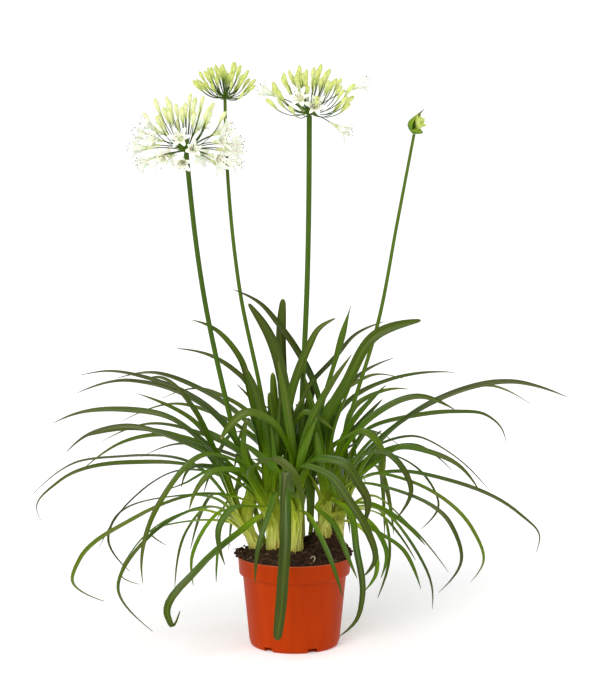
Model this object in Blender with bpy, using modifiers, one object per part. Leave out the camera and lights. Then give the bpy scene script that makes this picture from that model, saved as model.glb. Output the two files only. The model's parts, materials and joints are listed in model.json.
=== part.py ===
"""Agapanthus in its nursery pot: a plastic pot, peaty soil, six leafy shoots and five flower stems.

Metres, +Z up, the front of the plant faces -Y and the foot of the pot stands on z = 0.
Leaf and stem routes are written in millimetres as they are seen from the front, at the depth
of the pot's axis; seen_at() carries them along the line of sight to their real depth.
"""

import math
import random

import bmesh
import bpy
from mathutils import Matrix, Vector, noise
from mathutils.bvhtree import BVHTree

MM = 0.001
GAP = 0.4 * MM
UP = Vector((0.0, 0.0, 1.0))

# View that the leaf routes were measured from.
VIEW_DISTANCE = 3.0
VIEW_HEIGHT = 0.78

# Pot.
POT_HEIGHT = 136 * MM
RIM_RADIUS = 85 * MM
RIM_FOOT_RADIUS = 83.2 * MM
RIM_HEIGHT = 26.5 * MM
BODY_RADIUS = 78 * MM
BASE_RADIUS = 67.4 * MM
WALL = 1.6 * MM
POT_STEPS = 36
NOTCH_COUNT = 6
NOTCH_FIRST = math.radians(-36)
NOTCH_WIDTH = 15 * MM
NOTCH_HEIGHT = 4.5 * MM
NOTCH_DEPTH = 9 * MM

# Soil: a dome with a mound at the right and lumps on its face.
SOIL_STEPS = 26
SOIL_FLOOR = 3.5 * MM
SOIL_EDGE = 138.5 * MM
SOIL_DOME = 9 * MM
SOIL_OVERHANG = 86.6 * MM
MOUND_CENTRE = Vector((0.050, 0.026))
MOUND_HEIGHT = 27 * MM
MOUND_SPREAD = 29 * MM
LUMP = 2.2 * MM
ROOTING = 24 * MM

# Shoots: name, foot on the soil (x, y), neck radius, neck height, lean to the right in degrees.
SHOOTS = (
    ("shoot_1", (-0.056, 0.014), 0.0085, 0.050, -24),
    ("shoot_2", (-0.027, 0.000), 0.0130, 0.078, -7),
    ("shoot_3", (0.000, -0.019), 0.0120, 0.082, 0),
    ("shoot_4", (0.004, 0.057), 0.0110, 0.070, 0),
    ("shoot_5", (0.043, 0.015), 0.0105, 0.060, 5),
    ("shoot_6", (0.063, 0.036), 0.0090, 0.055, 10),
)

# Leaves seen one by one: shoot, route after the foot (x, z), depth of the tip, width, roll.
LEAVES = (
    # Upright and arching leaves of the crown.
    (3, ((-7, 324), (-14, 385), (-37, 468), (-68, 515)), -12, 15, -78),
    (4, ((-16, 370), (-20, 475), (-17, 522)), 30, 13, -8),
    (5, ((26, 403), (-22, 482), (-52, 516), (-91, 536)), 20, 10, -30),
    (3, ((-5, 378), (23, 454), (35, 476), (61, 493)), 30, 11, 55),
    (5, ((46, 340), (76, 393), (121, 468), (188, 490)), -15, 14, 62),
    (4, ((23, 393), (61, 435), (91, 469), (133, 488)), 60, 9, 15),
    (2, ((-64, 370), (-82, 435), (-127, 482), (-154, 491)), 15, 10, -24),
    (2, ((-76, 403), (-127, 438), (-175, 448)), 70, 9, -12),
    (3, ((-7, 294), (-37, 340), (-67, 352), (-110, 312)), -70, 12, -30),
    (2, ((-77, 302), (-71, 340)), -30, 9, 40),
    (2, ((-30, 300), (-37, 382)), -18, 9, 30),
    (3, ((-10, 300), (16, 352), (61, 323)), -60, 10, 25),
    (4, ((14, 330), (32, 404)), 14, 12, 60),
    (5, ((60, 330), (86, 396)), 2, 11, 50),
    (2, ((-52, 300), (-68, 356)), 12, 11, -50),
    (3, ((18, 300), (38, 360)), -38, 12, 60),
    # Left side, from the top down.
    (2, ((-142, 370), (-217, 403), (-280, 414), (-319, 408)), 110, 8, -5),
    (2, ((-142, 366), (-217, 396), (-254, 400), (-325, 381)), 30, 8, -5),
    (4, ((-142, 388), (-217, 412), (-266, 403)), 170, 8, -8),
    (1, ((-131, 321), (-149, 355), (-205, 405), (-223, 402)), -20, 10, -22),
    (4, ((-95, 370), (-142, 388), (-199, 373)), 190, 8, 0),
    (1, ((-157, 344), (-236, 381)), 90, 8, -5),
    (4, ((-120, 350), (-175, 365), (-260, 338)), 220, 8, 0),
    (2, ((-131, 305), (-194, 347), (-247, 356), (-329, 349), (-362, 335)), -15, 10, -14),
    (1, ((-149, 317), (-202, 353)), 50, 8, -10),
    (2, ((-100, 270), (-172, 310), (-254, 331), (-314, 315), (-341, 292)), -70, 10, -12),
    (1, ((-150, 305), (-232, 327), (-319, 314)), 95, 9, -6),
    (4, ((-140, 320), (-217, 335), (-287, 309)), 160, 8, 0),
    (1, ((-130, 300), (-190, 318), (-254, 308), (-319, 264)), 25, 9, -6),
    (4, ((-100, 290), (-179, 304), (-230, 285)), 200, 8, 0),
    (1, ((-160, 278), (-269, 285), (-329, 276), (-394, 227)), 140, 8, 0),
    (2, ((-100, 258), (-172, 275), (-217, 277), (-352, 248), (-387, 207), (-380, 186)), -40, 10, -10),
    (2, ((-110, 268), (-157, 267), (-170, 238)), -60, 9, -10),
    (1, ((-110, 255), (-172, 265), (-247, 218), (-296, 144)), 90, 8, 0),
    (1, ((-120, 222), (-179, 226), (-272, 188), (-280, 162), (-248, 110)), 130, 8, 0),
    (2, ((-80, 222), (-134, 229), (-247, 188), (-322, 130), (-334, 96), (-286, 64)), -95, 11, -16),
    (2, ((-90, 280), (-128, 289), (-200, 218), (-230, 119), (-228, 90)), -60, 10, -24),
    (1, ((-119, 210), (-209, 172), (-265, 81), (-214, 18)), -105, 9, 0),
    (1, ((-142, 189), (-215, 166), (-193, 150)), 70, 8, 0),
    (1, ((-127, 203), (-239, 150), (-260, 102), (-233, 90)), 30, 8, 0),
    (1, ((-134, 207), (-161, 175), (-181, 83)), 110, 7, 0),
    (1, ((-109, 203), (-154, 131), (-152, 87)), -75, 8, 0),
    (2, ((-48, 195), (-80, 172), (-144, 115), (-191, 42), (-184, 27), (-172, 50)), -140, 12, -20),
    (2, ((-60, 210), (-94, 206), (-112, 180), (-104, 119)), -110, 10, -10),
    (1, ((-104, 195), (-116, 131), (-118, 93)), -50, 7, 0),
    (2, ((-85, 265), (-122, 262), (-146, 236), (-158, 204)), -85, 10, -20),
    (1, ((-127, 264), (-164, 245), (-190, 235)), 45, 7, 0),
    # Right side, from the top down.
    (4, ((60, 370), (109, 417), (148, 434)), 110, 8, 8),
    (4, ((101, 384), (173, 409), (218, 413), (238, 412)), 160, 8, 5),
    (4, ((80, 390), (121, 409), (161, 403)), 190, 8, 0),
    (6, ((98, 368), (154, 388), (170, 387)), 70, 9, 14),
    (5, ((101, 286), (158, 337), (211, 370), (326, 398), (407, 375)), 10, 10, 12),
    (6, ((150, 330), (215, 372), (293, 392), (352, 365)), 110, 8, 0),
    (6, ((106, 324), (180, 347), (241, 353), (286, 348), (308, 330), (317, 306)), 60, 9, 8),
    (5, ((83, 309), (113, 343), (188, 376), (241, 355)), -30, 10, 24),
    (6, ((120, 300), (181, 316), (233, 291), (293, 233)), 130, 7, 0),
    (5, ((113, 268), (158, 299), (203, 292), (248, 270), (278, 232)), -50, 10, 10),
    (6, ((125, 290), (181, 302), (235, 265)), 90, 8, 6),
    (5, ((70, 310), (101, 324), (128, 302), (133, 253)), -70, 10, 20),
    (4, ((80, 315), (113, 324), (157, 302)), 170, 8, 0),
    (5, ((113, 257), (158, 263), (218, 253), (338, 198), (368, 165), (364, 140)), -10, 10, 10),
    (6, ((113, 259), (173, 248), (266, 177), (284, 124), (265, 93)), -60, 10, 10),
    (5, ((106, 245), (136, 239), (233, 185), (251, 127), (217, 77)), -110, 9, 8),
    (6, ((128, 292), (188, 264), (215, 207), (190, 175)), 110, 8, 0),
    (5, ((95, 285), (136, 291), (175, 233), (151, 188)), -85, 9, 14),
    (6, ((113, 226), (173, 181), (232, 109)), 60, 8, 0),
    (6, ((116, 213), (166, 183), (197, 150)), -80, 9, 12),
    (5, ((91, 195), (113, 178), (166, 140), (191, 83)), -135, 9, 8),
    (6, ((125, 207), (181, 145), (208, 81), (208, 52)), -30, 8, 0),
    (6, ((125, 200), (158, 165), (182, 127)), 130, 8, 0),
    (6, ((118, 180), (139, 134), (130, 99)), -80, 8, 5),
    (6, ((125, 206), (143, 145), (125, 69)), 80, 7, 0),
    (6, ((106, 172), (122, 104), (104, 78)), -60, 7, 0),
    # Front of the plant.
    (3, ((41, 282), (76, 274), (94, 248), (110, 218), (107, 188)), -110, 13, 25),
    (3, ((16, 271), (53, 256), (83, 218), (110, 172), (121, 127), (106, 104)), -130, 12, 15),
    (5, ((60, 218), (79, 206), (94, 142), (103, 74), (94, 36), (68, 10)), -120, 9, 20),
    (5, ((35, 206), (61, 180), (83, 127), (95, 99)), -130, 8, 10),
    (3, ((22, 195), (35, 172), (58, 119), (73, 71)), -128, 7, 10),
    (3, ((-14, 258), (-13, 218), (-13, 157), (-16, 112), (-19, 66), (-26, 4)), -138, 16, 0),
    (2, ((-31, 225), (-37, 203), (-55, 142), (-59, 92)), -125, 8, 10),
    (2, ((-49, 277), (-32, 283), (-4, 264), (11, 226), (14, 200)), -95, 11, 10),
    (3, ((-7, 271), (8, 268), (20, 245), (22, 185)), -90, 11, 5),
)

# More leaves by rule: shoot, how many, first and last heading in degrees (0 = right, 90 = back).
FILL = (
    (1, 2, 95, 130),
    (2, 2, 90, 112),
    (3, 1, 255, 285),
    (4, 9, 55, 130),
    (6, 4, 60, 100),
)
FILL_SEED = 7
ROOT_SEED = 9
ROOT_TRIES = 8
RING_PITCH = 80 * MM
FEWEST_RINGS = 5
MOST_RINGS = 9
BEND_SHARE = 110 * MM
KEEL = 0.17
THINNEST = 0.8 * MM
LOWEST_TIP = 14 * MM
# Share of its length over which a leaf spreads to the depth of its tip.
SPREAD_SHARE = 0.8

# Flower stems: name, foot (x, y), front route up to the head, depth of the top, radii foot and top.
STEMS = (
    ("scape_left", (-0.045, 0.038), ((-102, 370), (-133, 519), (-159, 737)), -20, 3.9, 3.6),
    ("scape_back", (-0.024, 0.034), ((-48, 370), (-81, 534), (-98, 697), (-102, 815)), 50, 3.7, 2.4),
    ("scape_centre", (0.004, 0.012), ((11, 362), (19, 549), (22, 792)), 0, 4.1, 3.9),
    ("scape_right", (0.036, 0.052), ((83, 347), (125, 490), (151, 630), (176, 765)), 30, 3.7, 2.2),
)
STEM_SIDES = 2
STEM_RINGS = 6
STEM_HOLE = 4.6 * MM
YOUNG_STEM = ("scape_young", (0.024, 0.034), ((41, 362), (61, 431), (74, 478), (84, 513)), 25)

# Heads: name, stem, seed, pedicels, lowest angle, pedicel length, bud length, open below (degrees).
HEADS = (
    ("umbel_left", "scape_left", 11, 38, -28, 47, 25, 34),
    ("umbel_back", "scape_back", 12, 32, -2, 29, 18, -90),
    ("umbel_centre", "scape_centre", 13, 30, -8, 44, 24, -90),
)
# Flowers that have opened early on the centre head: across, depth and height of their mouths.
EARLY_FLOWERS = ((-62, -10, 24), (72, 10, 47), (45, -12, -24), (-14, -50, 22), (8, -46, 10))
FLOWER_LENGTH = 27 * MM
FLOWER_REACH = 15.5 * MM
PEDICEL_RADIUS = 0.75 * MM


def clear_scene():
    for item in list(bpy.data.objects):
        bpy.data.objects.remove(item, do_unlink=True)


def new_collection(name):
    collection = bpy.data.collections.new(name)
    bpy.context.scene.collection.children.link(collection)
    return collection


def make_material(name, color, roughness):
    material = bpy.data.materials.new(name)
    material.use_nodes = True
    shader = material.node_tree.nodes["Principled BSDF"]
    shader.inputs["Base Color"].default_value = (*color, 1.0)
    shader.inputs["Roughness"].default_value = roughness
    return material


def add_object(name, mesh, collection, material=None):
    item = bpy.data.objects.new(name, mesh)
    if material is not None:
        mesh.materials.clear()
        mesh.materials.append(material)
    collection.objects.link(item)
    return item


def evaluated_copy(item, name, collection, material, weld=True):
    """Apply an object's modifiers to a plain mesh object of its own and remove the original."""
    bpy.context.view_layer.update()
    depsgraph = bpy.context.evaluated_depsgraph_get()
    mesh = bpy.data.meshes.new_from_object(item.evaluated_get(depsgraph))
    mesh.transform(item.matrix_world)
    bm = bmesh.new()
    bm.from_mesh(mesh)
    if weld:
        bmesh.ops.remove_doubles(bm, verts=bm.verts, dist=0.002 * MM)
    bmesh.ops.recalc_face_normals(bm, faces=bm.faces)
    bm.to_mesh(mesh)
    bm.free()
    bpy.data.objects.remove(item, do_unlink=True)
    return add_object(name, mesh, collection, material)


def turned(name, profile, steps, collection, material=None):
    """Spin a closed or axis-to-axis profile of (radius, height) points about Z."""
    mesh = bpy.data.meshes.new(name)
    vertices = [(radius, 0.0, height) for radius, height in profile]
    edges = [(i, i + 1) for i in range(len(profile) - 1)]
    if profile[0][0] > 0.0:
        edges.append((len(profile) - 1, 0))
    mesh.from_pydata(vertices, edges, [])
    item = add_object(name, mesh, collection, material)
    screw = item.modifiers.new("Screw", "SCREW")
    screw.steps = steps
    screw.render_steps = steps
    screw.use_merge_vertices = True
    screw.merge_threshold = 0.01 * MM
    screw.use_normal_calculate = True
    return item


def boolean(item, operation, other, solver="EXACT"):
    """Add one Boolean modifier whose other side is an object or a whole collection."""
    modifier = item.modifiers.new(operation.title(), "BOOLEAN")
    modifier.operation = operation
    modifier.solver = solver
    if isinstance(other, bpy.types.Collection):
        modifier.operand_type = "COLLECTION"
        modifier.collection = other
    else:
        modifier.object = other


def fuse(name, pieces, collection, material):
    """Join every object of a collection into one solid and remove the collection."""
    first = pieces.objects[0]
    rest = bpy.data.collections.new(name + "_rest")
    bpy.context.scene.collection.children.link(rest)
    for item in list(pieces.objects)[1:]:
        rest.objects.link(item)
        pieces.objects.unlink(item)
    boolean(first, "UNION", rest, "MANIFOLD")
    joined = evaluated_copy(first, name, collection, material, weld=False)
    for item in list(rest.objects):
        bpy.data.objects.remove(item, do_unlink=True)
    bpy.data.collections.remove(rest)
    bpy.data.collections.remove(pieces)
    return joined


def seen_at(x, z, depth):
    """Carry a front-view point in millimetres along the line of sight to a depth in metres."""
    height = z * MM
    return Vector((
        x * MM * (1.0 + depth / VIEW_DISTANCE),
        depth,
        height - depth * (VIEW_HEIGHT - height) / VIEW_DISTANCE,
    ))


def smooth_path(points, start, count=None):
    """Set points along a smooth curve through the given ones, closer together where it bends."""
    chords = [(b - a).length for a, b in zip(points, points[1:])]
    runs = [(b - a) / chord for a, b, chord in zip(points, points[1:], chords)]
    slopes = [start.normalized()]
    for i in range(1, len(points) - 1):
        share = chords[i - 1] / (chords[i - 1] + chords[i])
        slopes.append(runs[i - 1].lerp(runs[i], share))
    slopes.append((runs[-1] * 1.6 - slopes[-1] * 0.6).normalized())
    dense = []
    for i, chord in enumerate(chords):
        for k in range(16):
            t = k / 16.0
            place = points[i] * (2 * t ** 3 - 3 * t ** 2 + 1) + points[i + 1] * (3 * t ** 2 - 2 * t ** 3)
            pull = slopes[i] * (t ** 3 - 2 * t ** 2 + t) + slopes[i + 1] * (t ** 3 - t ** 2)
            dense.append(place + pull * chord)
    dense.append(points[-1])
    reach = [0.0]
    for i in range(len(dense) - 1):
        run = dense[i + 1] - dense[i]
        turn = run.angle(dense[i] - dense[i - 1]) if i else 0.0
        reach.append(reach[-1] + run.length + turn * BEND_SHARE)
    if count is None:
        count = min(MOST_RINGS, max(FEWEST_RINGS, round(reach[-1] / RING_PITCH)))
    path = []
    k = 0
    for i in range(count + 1):
        target = reach[-1] * i / count
        while k < len(dense) - 2 and reach[k + 1] < target:
            k += 1
        share = (target - reach[k]) / (reach[k + 1] - reach[k])
        path.append(dense[k].lerp(dense[k + 1], min(share, 1.0)))
    return path


def tangents(path):
    ends = [path[0]] + path + [path[-1]]
    return [(ends[i + 2] - ends[i]).normalized() for i in range(len(path))]


def closed_mesh(name, points, faces):
    """A mesh of one closed body with its faces turned outwards."""
    mesh = bpy.data.meshes.new(name)
    mesh.from_pydata(points, [], faces)
    bm = bmesh.new()
    bm.from_mesh(mesh)
    bmesh.ops.recalc_face_normals(bm, faces=bm.faces)
    if bm.calc_volume(signed=True) < 0.0:
        bmesh.ops.reverse_faces(bm, faces=bm.faces)
    bm.to_mesh(mesh)
    bm.free()
    return mesh


def loft(name, rings):
    """Skin a list of rings with equal vertex counts into one closed mesh."""
    sides = len(rings[0])
    vertices = [point for ring in rings for point in ring]
    faces = [tuple(range(sides)), tuple(len(vertices) - 1 - i for i in range(sides))]
    for row in range(len(rings) - 1):
        for i in range(sides):
            a = row * sides + i
            b = row * sides + (i + 1) % sides
            faces.append((a, b + sides, b))
            faces.append((a, a + sides, b + sides))
    return closed_mesh(name, vertices, faces)


def soil_height(x, y):
    """Height of the soil's face: dome, mound and seeded lumps."""
    radius = math.hypot(x, y)
    dome = SOIL_DOME * max(0.0, 1.0 - (radius / SOIL_OVERHANG) ** 2)
    away = (Vector((x, y)) - MOUND_CENTRE).length / MOUND_SPREAD
    fade = min(1.0, max(0.0, (SOIL_OVERHANG - radius) / (14 * MM)))
    mound = MOUND_HEIGHT * math.exp(-away ** 2) * fade
    lump = LUMP * noise.noise(Vector((x, y, 0.0)) * 55.0)
    return SOIL_EDGE + dome + mound + lump


def inner_radius(z):
    """Radius of the pot's inner face at a height."""
    step = POT_HEIGHT - RIM_HEIGHT
    if z > step:
        return RIM_FOOT_RADIUS + (RIM_RADIUS - RIM_FOOT_RADIUS) * (z - step) / RIM_HEIGHT - WALL
    return BASE_RADIUS + (BODY_RADIUS - BASE_RADIUS) * z / step - WALL


def make_pot(parts, cutters, material):
    step = POT_HEIGHT - RIM_HEIGHT
    rim_in = 0.4 * MM
    profile = (
        (0.0, 0.0),
        (BASE_RADIUS - 4 * MM, 0.0),
        (BASE_RADIUS - 1.2 * MM, 1.2 * MM),
        (BASE_RADIUS, 4 * MM),
        (BODY_RADIUS, step - 1 * MM),
        (RIM_FOOT_RADIUS - 1 * MM, step),
        (RIM_FOOT_RADIUS, step + 1 * MM),
        (RIM_RADIUS, POT_HEIGHT - rim_in),
        (RIM_RADIUS - rim_in, POT_HEIGHT),
        (RIM_RADIUS - WALL, POT_HEIGHT),
        (inner_radius(step + WALL), step + WALL),
        (inner_radius(step - WALL), step - WALL),
        (inner_radius(2 * MM), 2 * MM),
        (0.0, 2 * MM),
    )
    pot = turned("pot", profile[::-1], POT_STEPS, parts, material)
    for i in range(NOTCH_COUNT):
        heading = NOTCH_FIRST + i * math.tau / NOTCH_COUNT - math.pi / 2
        bpy.ops.mesh.primitive_cube_add(size=1.0)
        cutter = bpy.context.object
        cutter.name = f"notch_cutter_{i + 1}"
        cutter.scale = (NOTCH_DEPTH, NOTCH_WIDTH, NOTCH_HEIGHT * 2)
        cutter.rotation_euler.z = heading
        centre = BASE_RADIUS - NOTCH_DEPTH / 2 + 4 * MM
        cutter.location = (centre * math.cos(heading), centre * math.sin(heading), 0.0)
        for collection in list(cutter.users_collection):
            collection.objects.unlink(cutter)
        cutters.objects.link(cutter)
    boolean(pot, "DIFFERENCE", cutters)
    return evaluated_copy(pot, "pot", parts, material)


def make_soil(parts, cutters, material):
    step = POT_HEIGHT - RIM_HEIGHT
    rings = [0.0, 12, 24, 36, 48, 60, 71, 79, 84, 86.6]
    top = [(radius * MM, SOIL_EDGE) for radius in rings]
    side = [
        (SOIL_OVERHANG - 0.8 * MM, POT_HEIGHT + GAP),
        (inner_radius(POT_HEIGHT) - GAP, POT_HEIGHT + GAP),
        (inner_radius(step + WALL) - GAP, step + WALL),
        (inner_radius(step - WALL) - GAP, step - WALL),
        (inner_radius(SOIL_FLOOR) - GAP - 8 * MM, SOIL_FLOOR),
        (0.0, SOIL_FLOOR),
    ]
    soil = turned("soil", top + side, SOIL_STEPS, parts)
    soil = evaluated_copy(soil, "soil", parts, material)
    for vertex in soil.data.vertices:
        x, y, z = vertex.co
        if z > POT_HEIGHT + 2 * GAP:
            ragged = 1.0 + 0.022 * noise.noise(Vector((x, y, 3.0)) * 40.0)
            if math.hypot(x, y) < 80 * MM:
                ragged = 1.0
            vertex.co.z = soil_height(x, y)
            vertex.co.x = x * ragged
            vertex.co.y = y * ragged
    boolean(soil, "DIFFERENCE", cutters, "MANIFOLD")
    return evaluated_copy(soil, "soil", parts, material)


def plain_hole(name, stance, radius, cutters):
    """A round hole in the soil that a shoot or a flower stem stands in."""
    length = ROOTING + 40 * MM
    sides = 10
    bpy.ops.mesh.primitive_cylinder_add(vertices=sides, radius=radius / math.cos(math.pi / sides), depth=length)
    cutter = bpy.context.object
    cutter.name = name
    cutter.matrix_world = stance @ Matrix.Translation((0, 0, length / 2 - ROOTING - GAP))
    for collection in list(cutter.users_collection):
        collection.objects.unlink(cutter)
    cutters.objects.link(cutter)


def lean_matrix(foot, lean):
    return Matrix.Translation(foot) @ Matrix.Rotation(math.radians(lean), 4, "Y")


def foot_on_soil(place):
    return Vector((place[0], place[1], soil_height(*place)))


def leaf_route(shoot, route, depth, root):
    """Points of a leaf from inside the neck of its shoot to its tip, its first slope and heading."""
    _, place, neck, tall, lean = SHOOTS[shoot - 1]
    foot = foot_on_soil(place)
    crest = seen_at(*route[-1], depth)
    away = crest - foot
    away.z = 0.0
    spread = min(1.0, away.length / (180 * MM))
    heading = away.normalized()
    axis = lean_matrix(foot, lean)
    first = seen_at(*route[0], foot.y) - foot
    steep = math.atan2(first.z, Vector((first.x, first.y)).length)
    steep = min(1.0, max(0.0, (math.degrees(steep) - 40) / 45))
    start = axis @ Vector((root.x * neck, root.y * neck, tall * (0.2 + 0.3 * steep + 0.25 * root.z)))
    start += heading * neck * 0.3 * (1.0 - steep)
    lengths = [0.0]
    before = Vector((foot.x / MM, foot.z / MM))
    for point in route:
        lengths.append(lengths[-1] + (Vector(point) - before).length)
        before = Vector(point)
    points = [start]
    for point, length in zip(route, lengths[1:]):
        turn = math.sin(math.pi / 2 * min(1.0, length / lengths[-1] / SPREAD_SHARE))
        points.append(seen_at(*point, foot.y + (depth - foot.y) * turn))
    rise = UP + heading * 0.22 * spread + (axis.to_3x3() @ UP - UP)
    return points, rise, heading


def blade(name, points, rise, heading, width, roll, extra=0.0, leave=0.0):
    """A strap leaf with a keel below: three-sided rings along a smooth path."""
    path = smooth_path(points, rise)
    side = UP.cross(heading).normalized()
    built = []
    for i, (point, along) in enumerate(zip(path, tangents(path))):
        t = i / (len(path) - 1)
        taper = max(0.0, (t - 0.5) / 0.5)
        half = width * MM * (0.12 + 0.41 * min(1.0, t * 3.0)) * (1.0 - taper ** 2.4) + 0.4 * MM + extra
        across = (side - along * side.dot(along)).normalized()
        across.rotate(Matrix.Rotation(math.radians(roll) * min(1.0, t * 1.8), 3, along))
        down = across.cross(along).normalized()
        if down.z > 0 and abs(roll) < 60 and t < 0.15:
            down = -down
        deep = max(THINNEST, half * 2 * KEEL) + extra
        built.append((
            point - across * half - down * extra,
            point + across * half - down * extra,
            point + down * deep,
        ))
    if leave:
        share = min(0.95, leave / (path[1] - path[0]).length)
        built[0] = tuple(a.lerp(b, share) for a, b in zip(built[0], built[1]))
    return loft(name, built)


def tree_of(mesh):
    return BVHTree.FromPolygons(
        [vertex.co for vertex in mesh.vertices],
        [tuple(face.vertices) for face in mesh.polygons],
    )


class Clearing:
    """Keeps what is already built, so that each new leaf can be bent clear of it."""

    def __init__(self):
        self.others = []

    def add(self, owner, tree, outer=None):
        self.others.append((owner, tree, outer))

    def blocked(self, owner, tree, outer):
        """0 when clear, 1 when only leaves of the same shoot are crossed, 2 otherwise."""
        worst = 0
        for other, other_tree, other_outer in self.others:
            if other != owner:
                if tree.overlap(other_tree):
                    return 2
            elif worst == 0 and other_outer is not None and outer.overlap(other_outer):
                worst = 1
        return worst


def place_leaf(name, leaf, clearing, pieces, draw):
    """Bend a leaf in depth, and move its root in the neck, until it is clear of what stands."""
    shoot, route, depth, width, roll = leaf
    owner, _, _, tall, _ = SHOOTS[shoot - 1]
    offsets = [0]
    for push in range(7, 106, 7):
        offsets += [push, -push]
    chosen = None
    for offset in offsets:
        for _ in range(ROOT_TRIES):
            turn = draw.uniform(0, math.tau)
            reach = 0.5 * math.sqrt(draw.random())
            root = Vector((reach * math.cos(turn), reach * math.sin(turn), draw.random()))
            points, rise, heading = leaf_route(shoot, route, (depth + offset) * MM, root)
            if min(point.z for point in points) < LOWEST_TIP:
                continue
            whole = blade(name, points, rise, heading, width, roll, extra=0.5 * MM)
            outer = blade(name, points, rise, heading, width, roll, extra=0.12 * MM, leave=tall * 0.5)
            state = clearing.blocked(owner, tree_of(whole), tree_of(outer))
            bpy.data.meshes.remove(whole)
            bpy.data.meshes.remove(outer)
            if state == 0:
                chosen = (points, rise, heading)
                break
        if chosen is not None:
            break
    if chosen is None:
        print("left out", name, leaf)
        return
    mesh = blade(name, *chosen, width, roll)
    outer = blade(name, *chosen, width, roll, leave=tall * 0.5)
    clearing.add(owner, tree_of(mesh), tree_of(outer))
    bpy.data.meshes.remove(outer)
    add_object(name, mesh, pieces)


def fill_leaves():
    """Arching leaves by rule, each with seeded reach, height, width and droop."""
    draw = random.Random(FILL_SEED)
    leaves = []
    for shoot, count, first, last in FILL:
        place = SHOOTS[shoot - 1][1]
        for i in range(count):
            heading = math.radians(first + (last - first) * (i + draw.uniform(0.2, 0.8)) / count)
            reach = draw.uniform(150, 300)
            crest = draw.uniform(225, 345)
            tip = max(60, crest - draw.uniform(0.2, 0.62) * reach)
            x = place[0] / MM
            y = place[1] / MM
            across = math.cos(heading) * reach
            depth = y + math.sin(heading) * reach
            route = (
                (x + across * 0.30, crest * 0.86 + 12),
                (x + across * 0.62, crest),
                (x + across, tip),
            )
            leaves.append((shoot, route, depth, draw.uniform(8, 11), draw.uniform(-14, 14)))
    return leaves


def make_shoots(parts, clearing, leaf_material):
    gathered = {}
    for name, place, neck, tall, lean in SHOOTS:
        pieces = new_collection(name + "_pieces")
        profile = (
            (0.0, tall),
            (neck * 0.35, tall * 0.97),
            (neck * 0.75, tall * 0.72),
            (neck, tall * 0.25),
            (neck, 0.0),
            (neck * 0.96, -ROOTING * 0.6),
            (neck * 0.7, -ROOTING),
            (0.0, -ROOTING),
        )
        core = turned(name + "_neck", profile, 9, pieces)
        core.matrix_world = lean_matrix(foot_on_soil(place), lean)
        core = evaluated_copy(core, name + "_neck", pieces, None)
        clearing.add(name, tree_of(core.data))
        gathered[name] = pieces
    draw = random.Random(ROOT_SEED)
    for i, leaf in enumerate(LEAVES + tuple(fill_leaves())):
        place_leaf(f"leaf_{i + 1}", leaf, clearing, gathered[SHOOTS[leaf[0] - 1][0]], draw)
    for name, pieces in gathered.items():
        print(name, len(pieces.objects) - 1, "leaves")
        fuse(name, pieces, parts, leaf_material)


def stem_points(place, route, depth):
    """Points of a flower stem, straight in the soil and then up the route to its head."""
    foot = foot_on_soil(place)
    points = [foot]
    top = route[-1][1] * MM
    for x, z in route:
        share = min(1.0, (z * MM - foot.z) / (top - foot.z))
        points.append(seen_at(x, z, foot.y + (depth * MM - foot.y) * share))
    aim = (points[1] - points[0]).normalized()
    return [foot - aim * (ROOTING - GAP)] + points


def stem_path(place, route, depth, count):
    points = stem_points(place, route, depth)
    above = smooth_path(points[1:], points[1] - points[0], count)
    return [points[0]] + above


def make_stem(name, path, radii, parts, material):
    """A flower stem: a tapered round tube with closed ends."""
    curve = bpy.data.curves.new(name, "CURVE")
    curve.dimensions = "3D"
    curve.bevel_depth = 1.0
    curve.bevel_resolution = STEM_SIDES
    curve.use_fill_caps = True
    spline = curve.splines.new("POLY")
    spline.points.add(len(path) - 1)
    for knot, point, radius in zip(spline.points, path, radii):
        knot.co = (*point, 1.0)
        knot.radius = radius * MM
    item = bpy.data.objects.new(name, curve)
    parts.objects.link(item)
    stem = evaluated_copy(item, name, parts, material)
    bpy.data.curves.remove(curve)
    return stem


def ring(centre, along, radius, sides, turn=0.0):
    side = along.orthogonal().normalized()
    other = along.cross(side)
    ring_points = []
    for i in range(sides):
        angle = turn + math.tau * i / sides
        ring_points.append(centre + (side * math.cos(angle) + other * math.sin(angle)) * radius)
    return ring_points


def bud(name, root, path_end, lead, length):
    """A bud on its pedicel: a slim stalk that swells and closes in a blunt point."""
    aim = (path_end - root).normalized()
    rings = [ring(root, aim, PEDICEL_RADIUS, 4), ring(path_end, lead, PEDICEL_RADIUS, 4)]
    for along, radius in ((0.62, 0.130), (1.0, 0.02)):
        rings.append(ring(path_end + lead * length * along, lead, length * radius, 4))
    return loft(name, rings)


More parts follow.
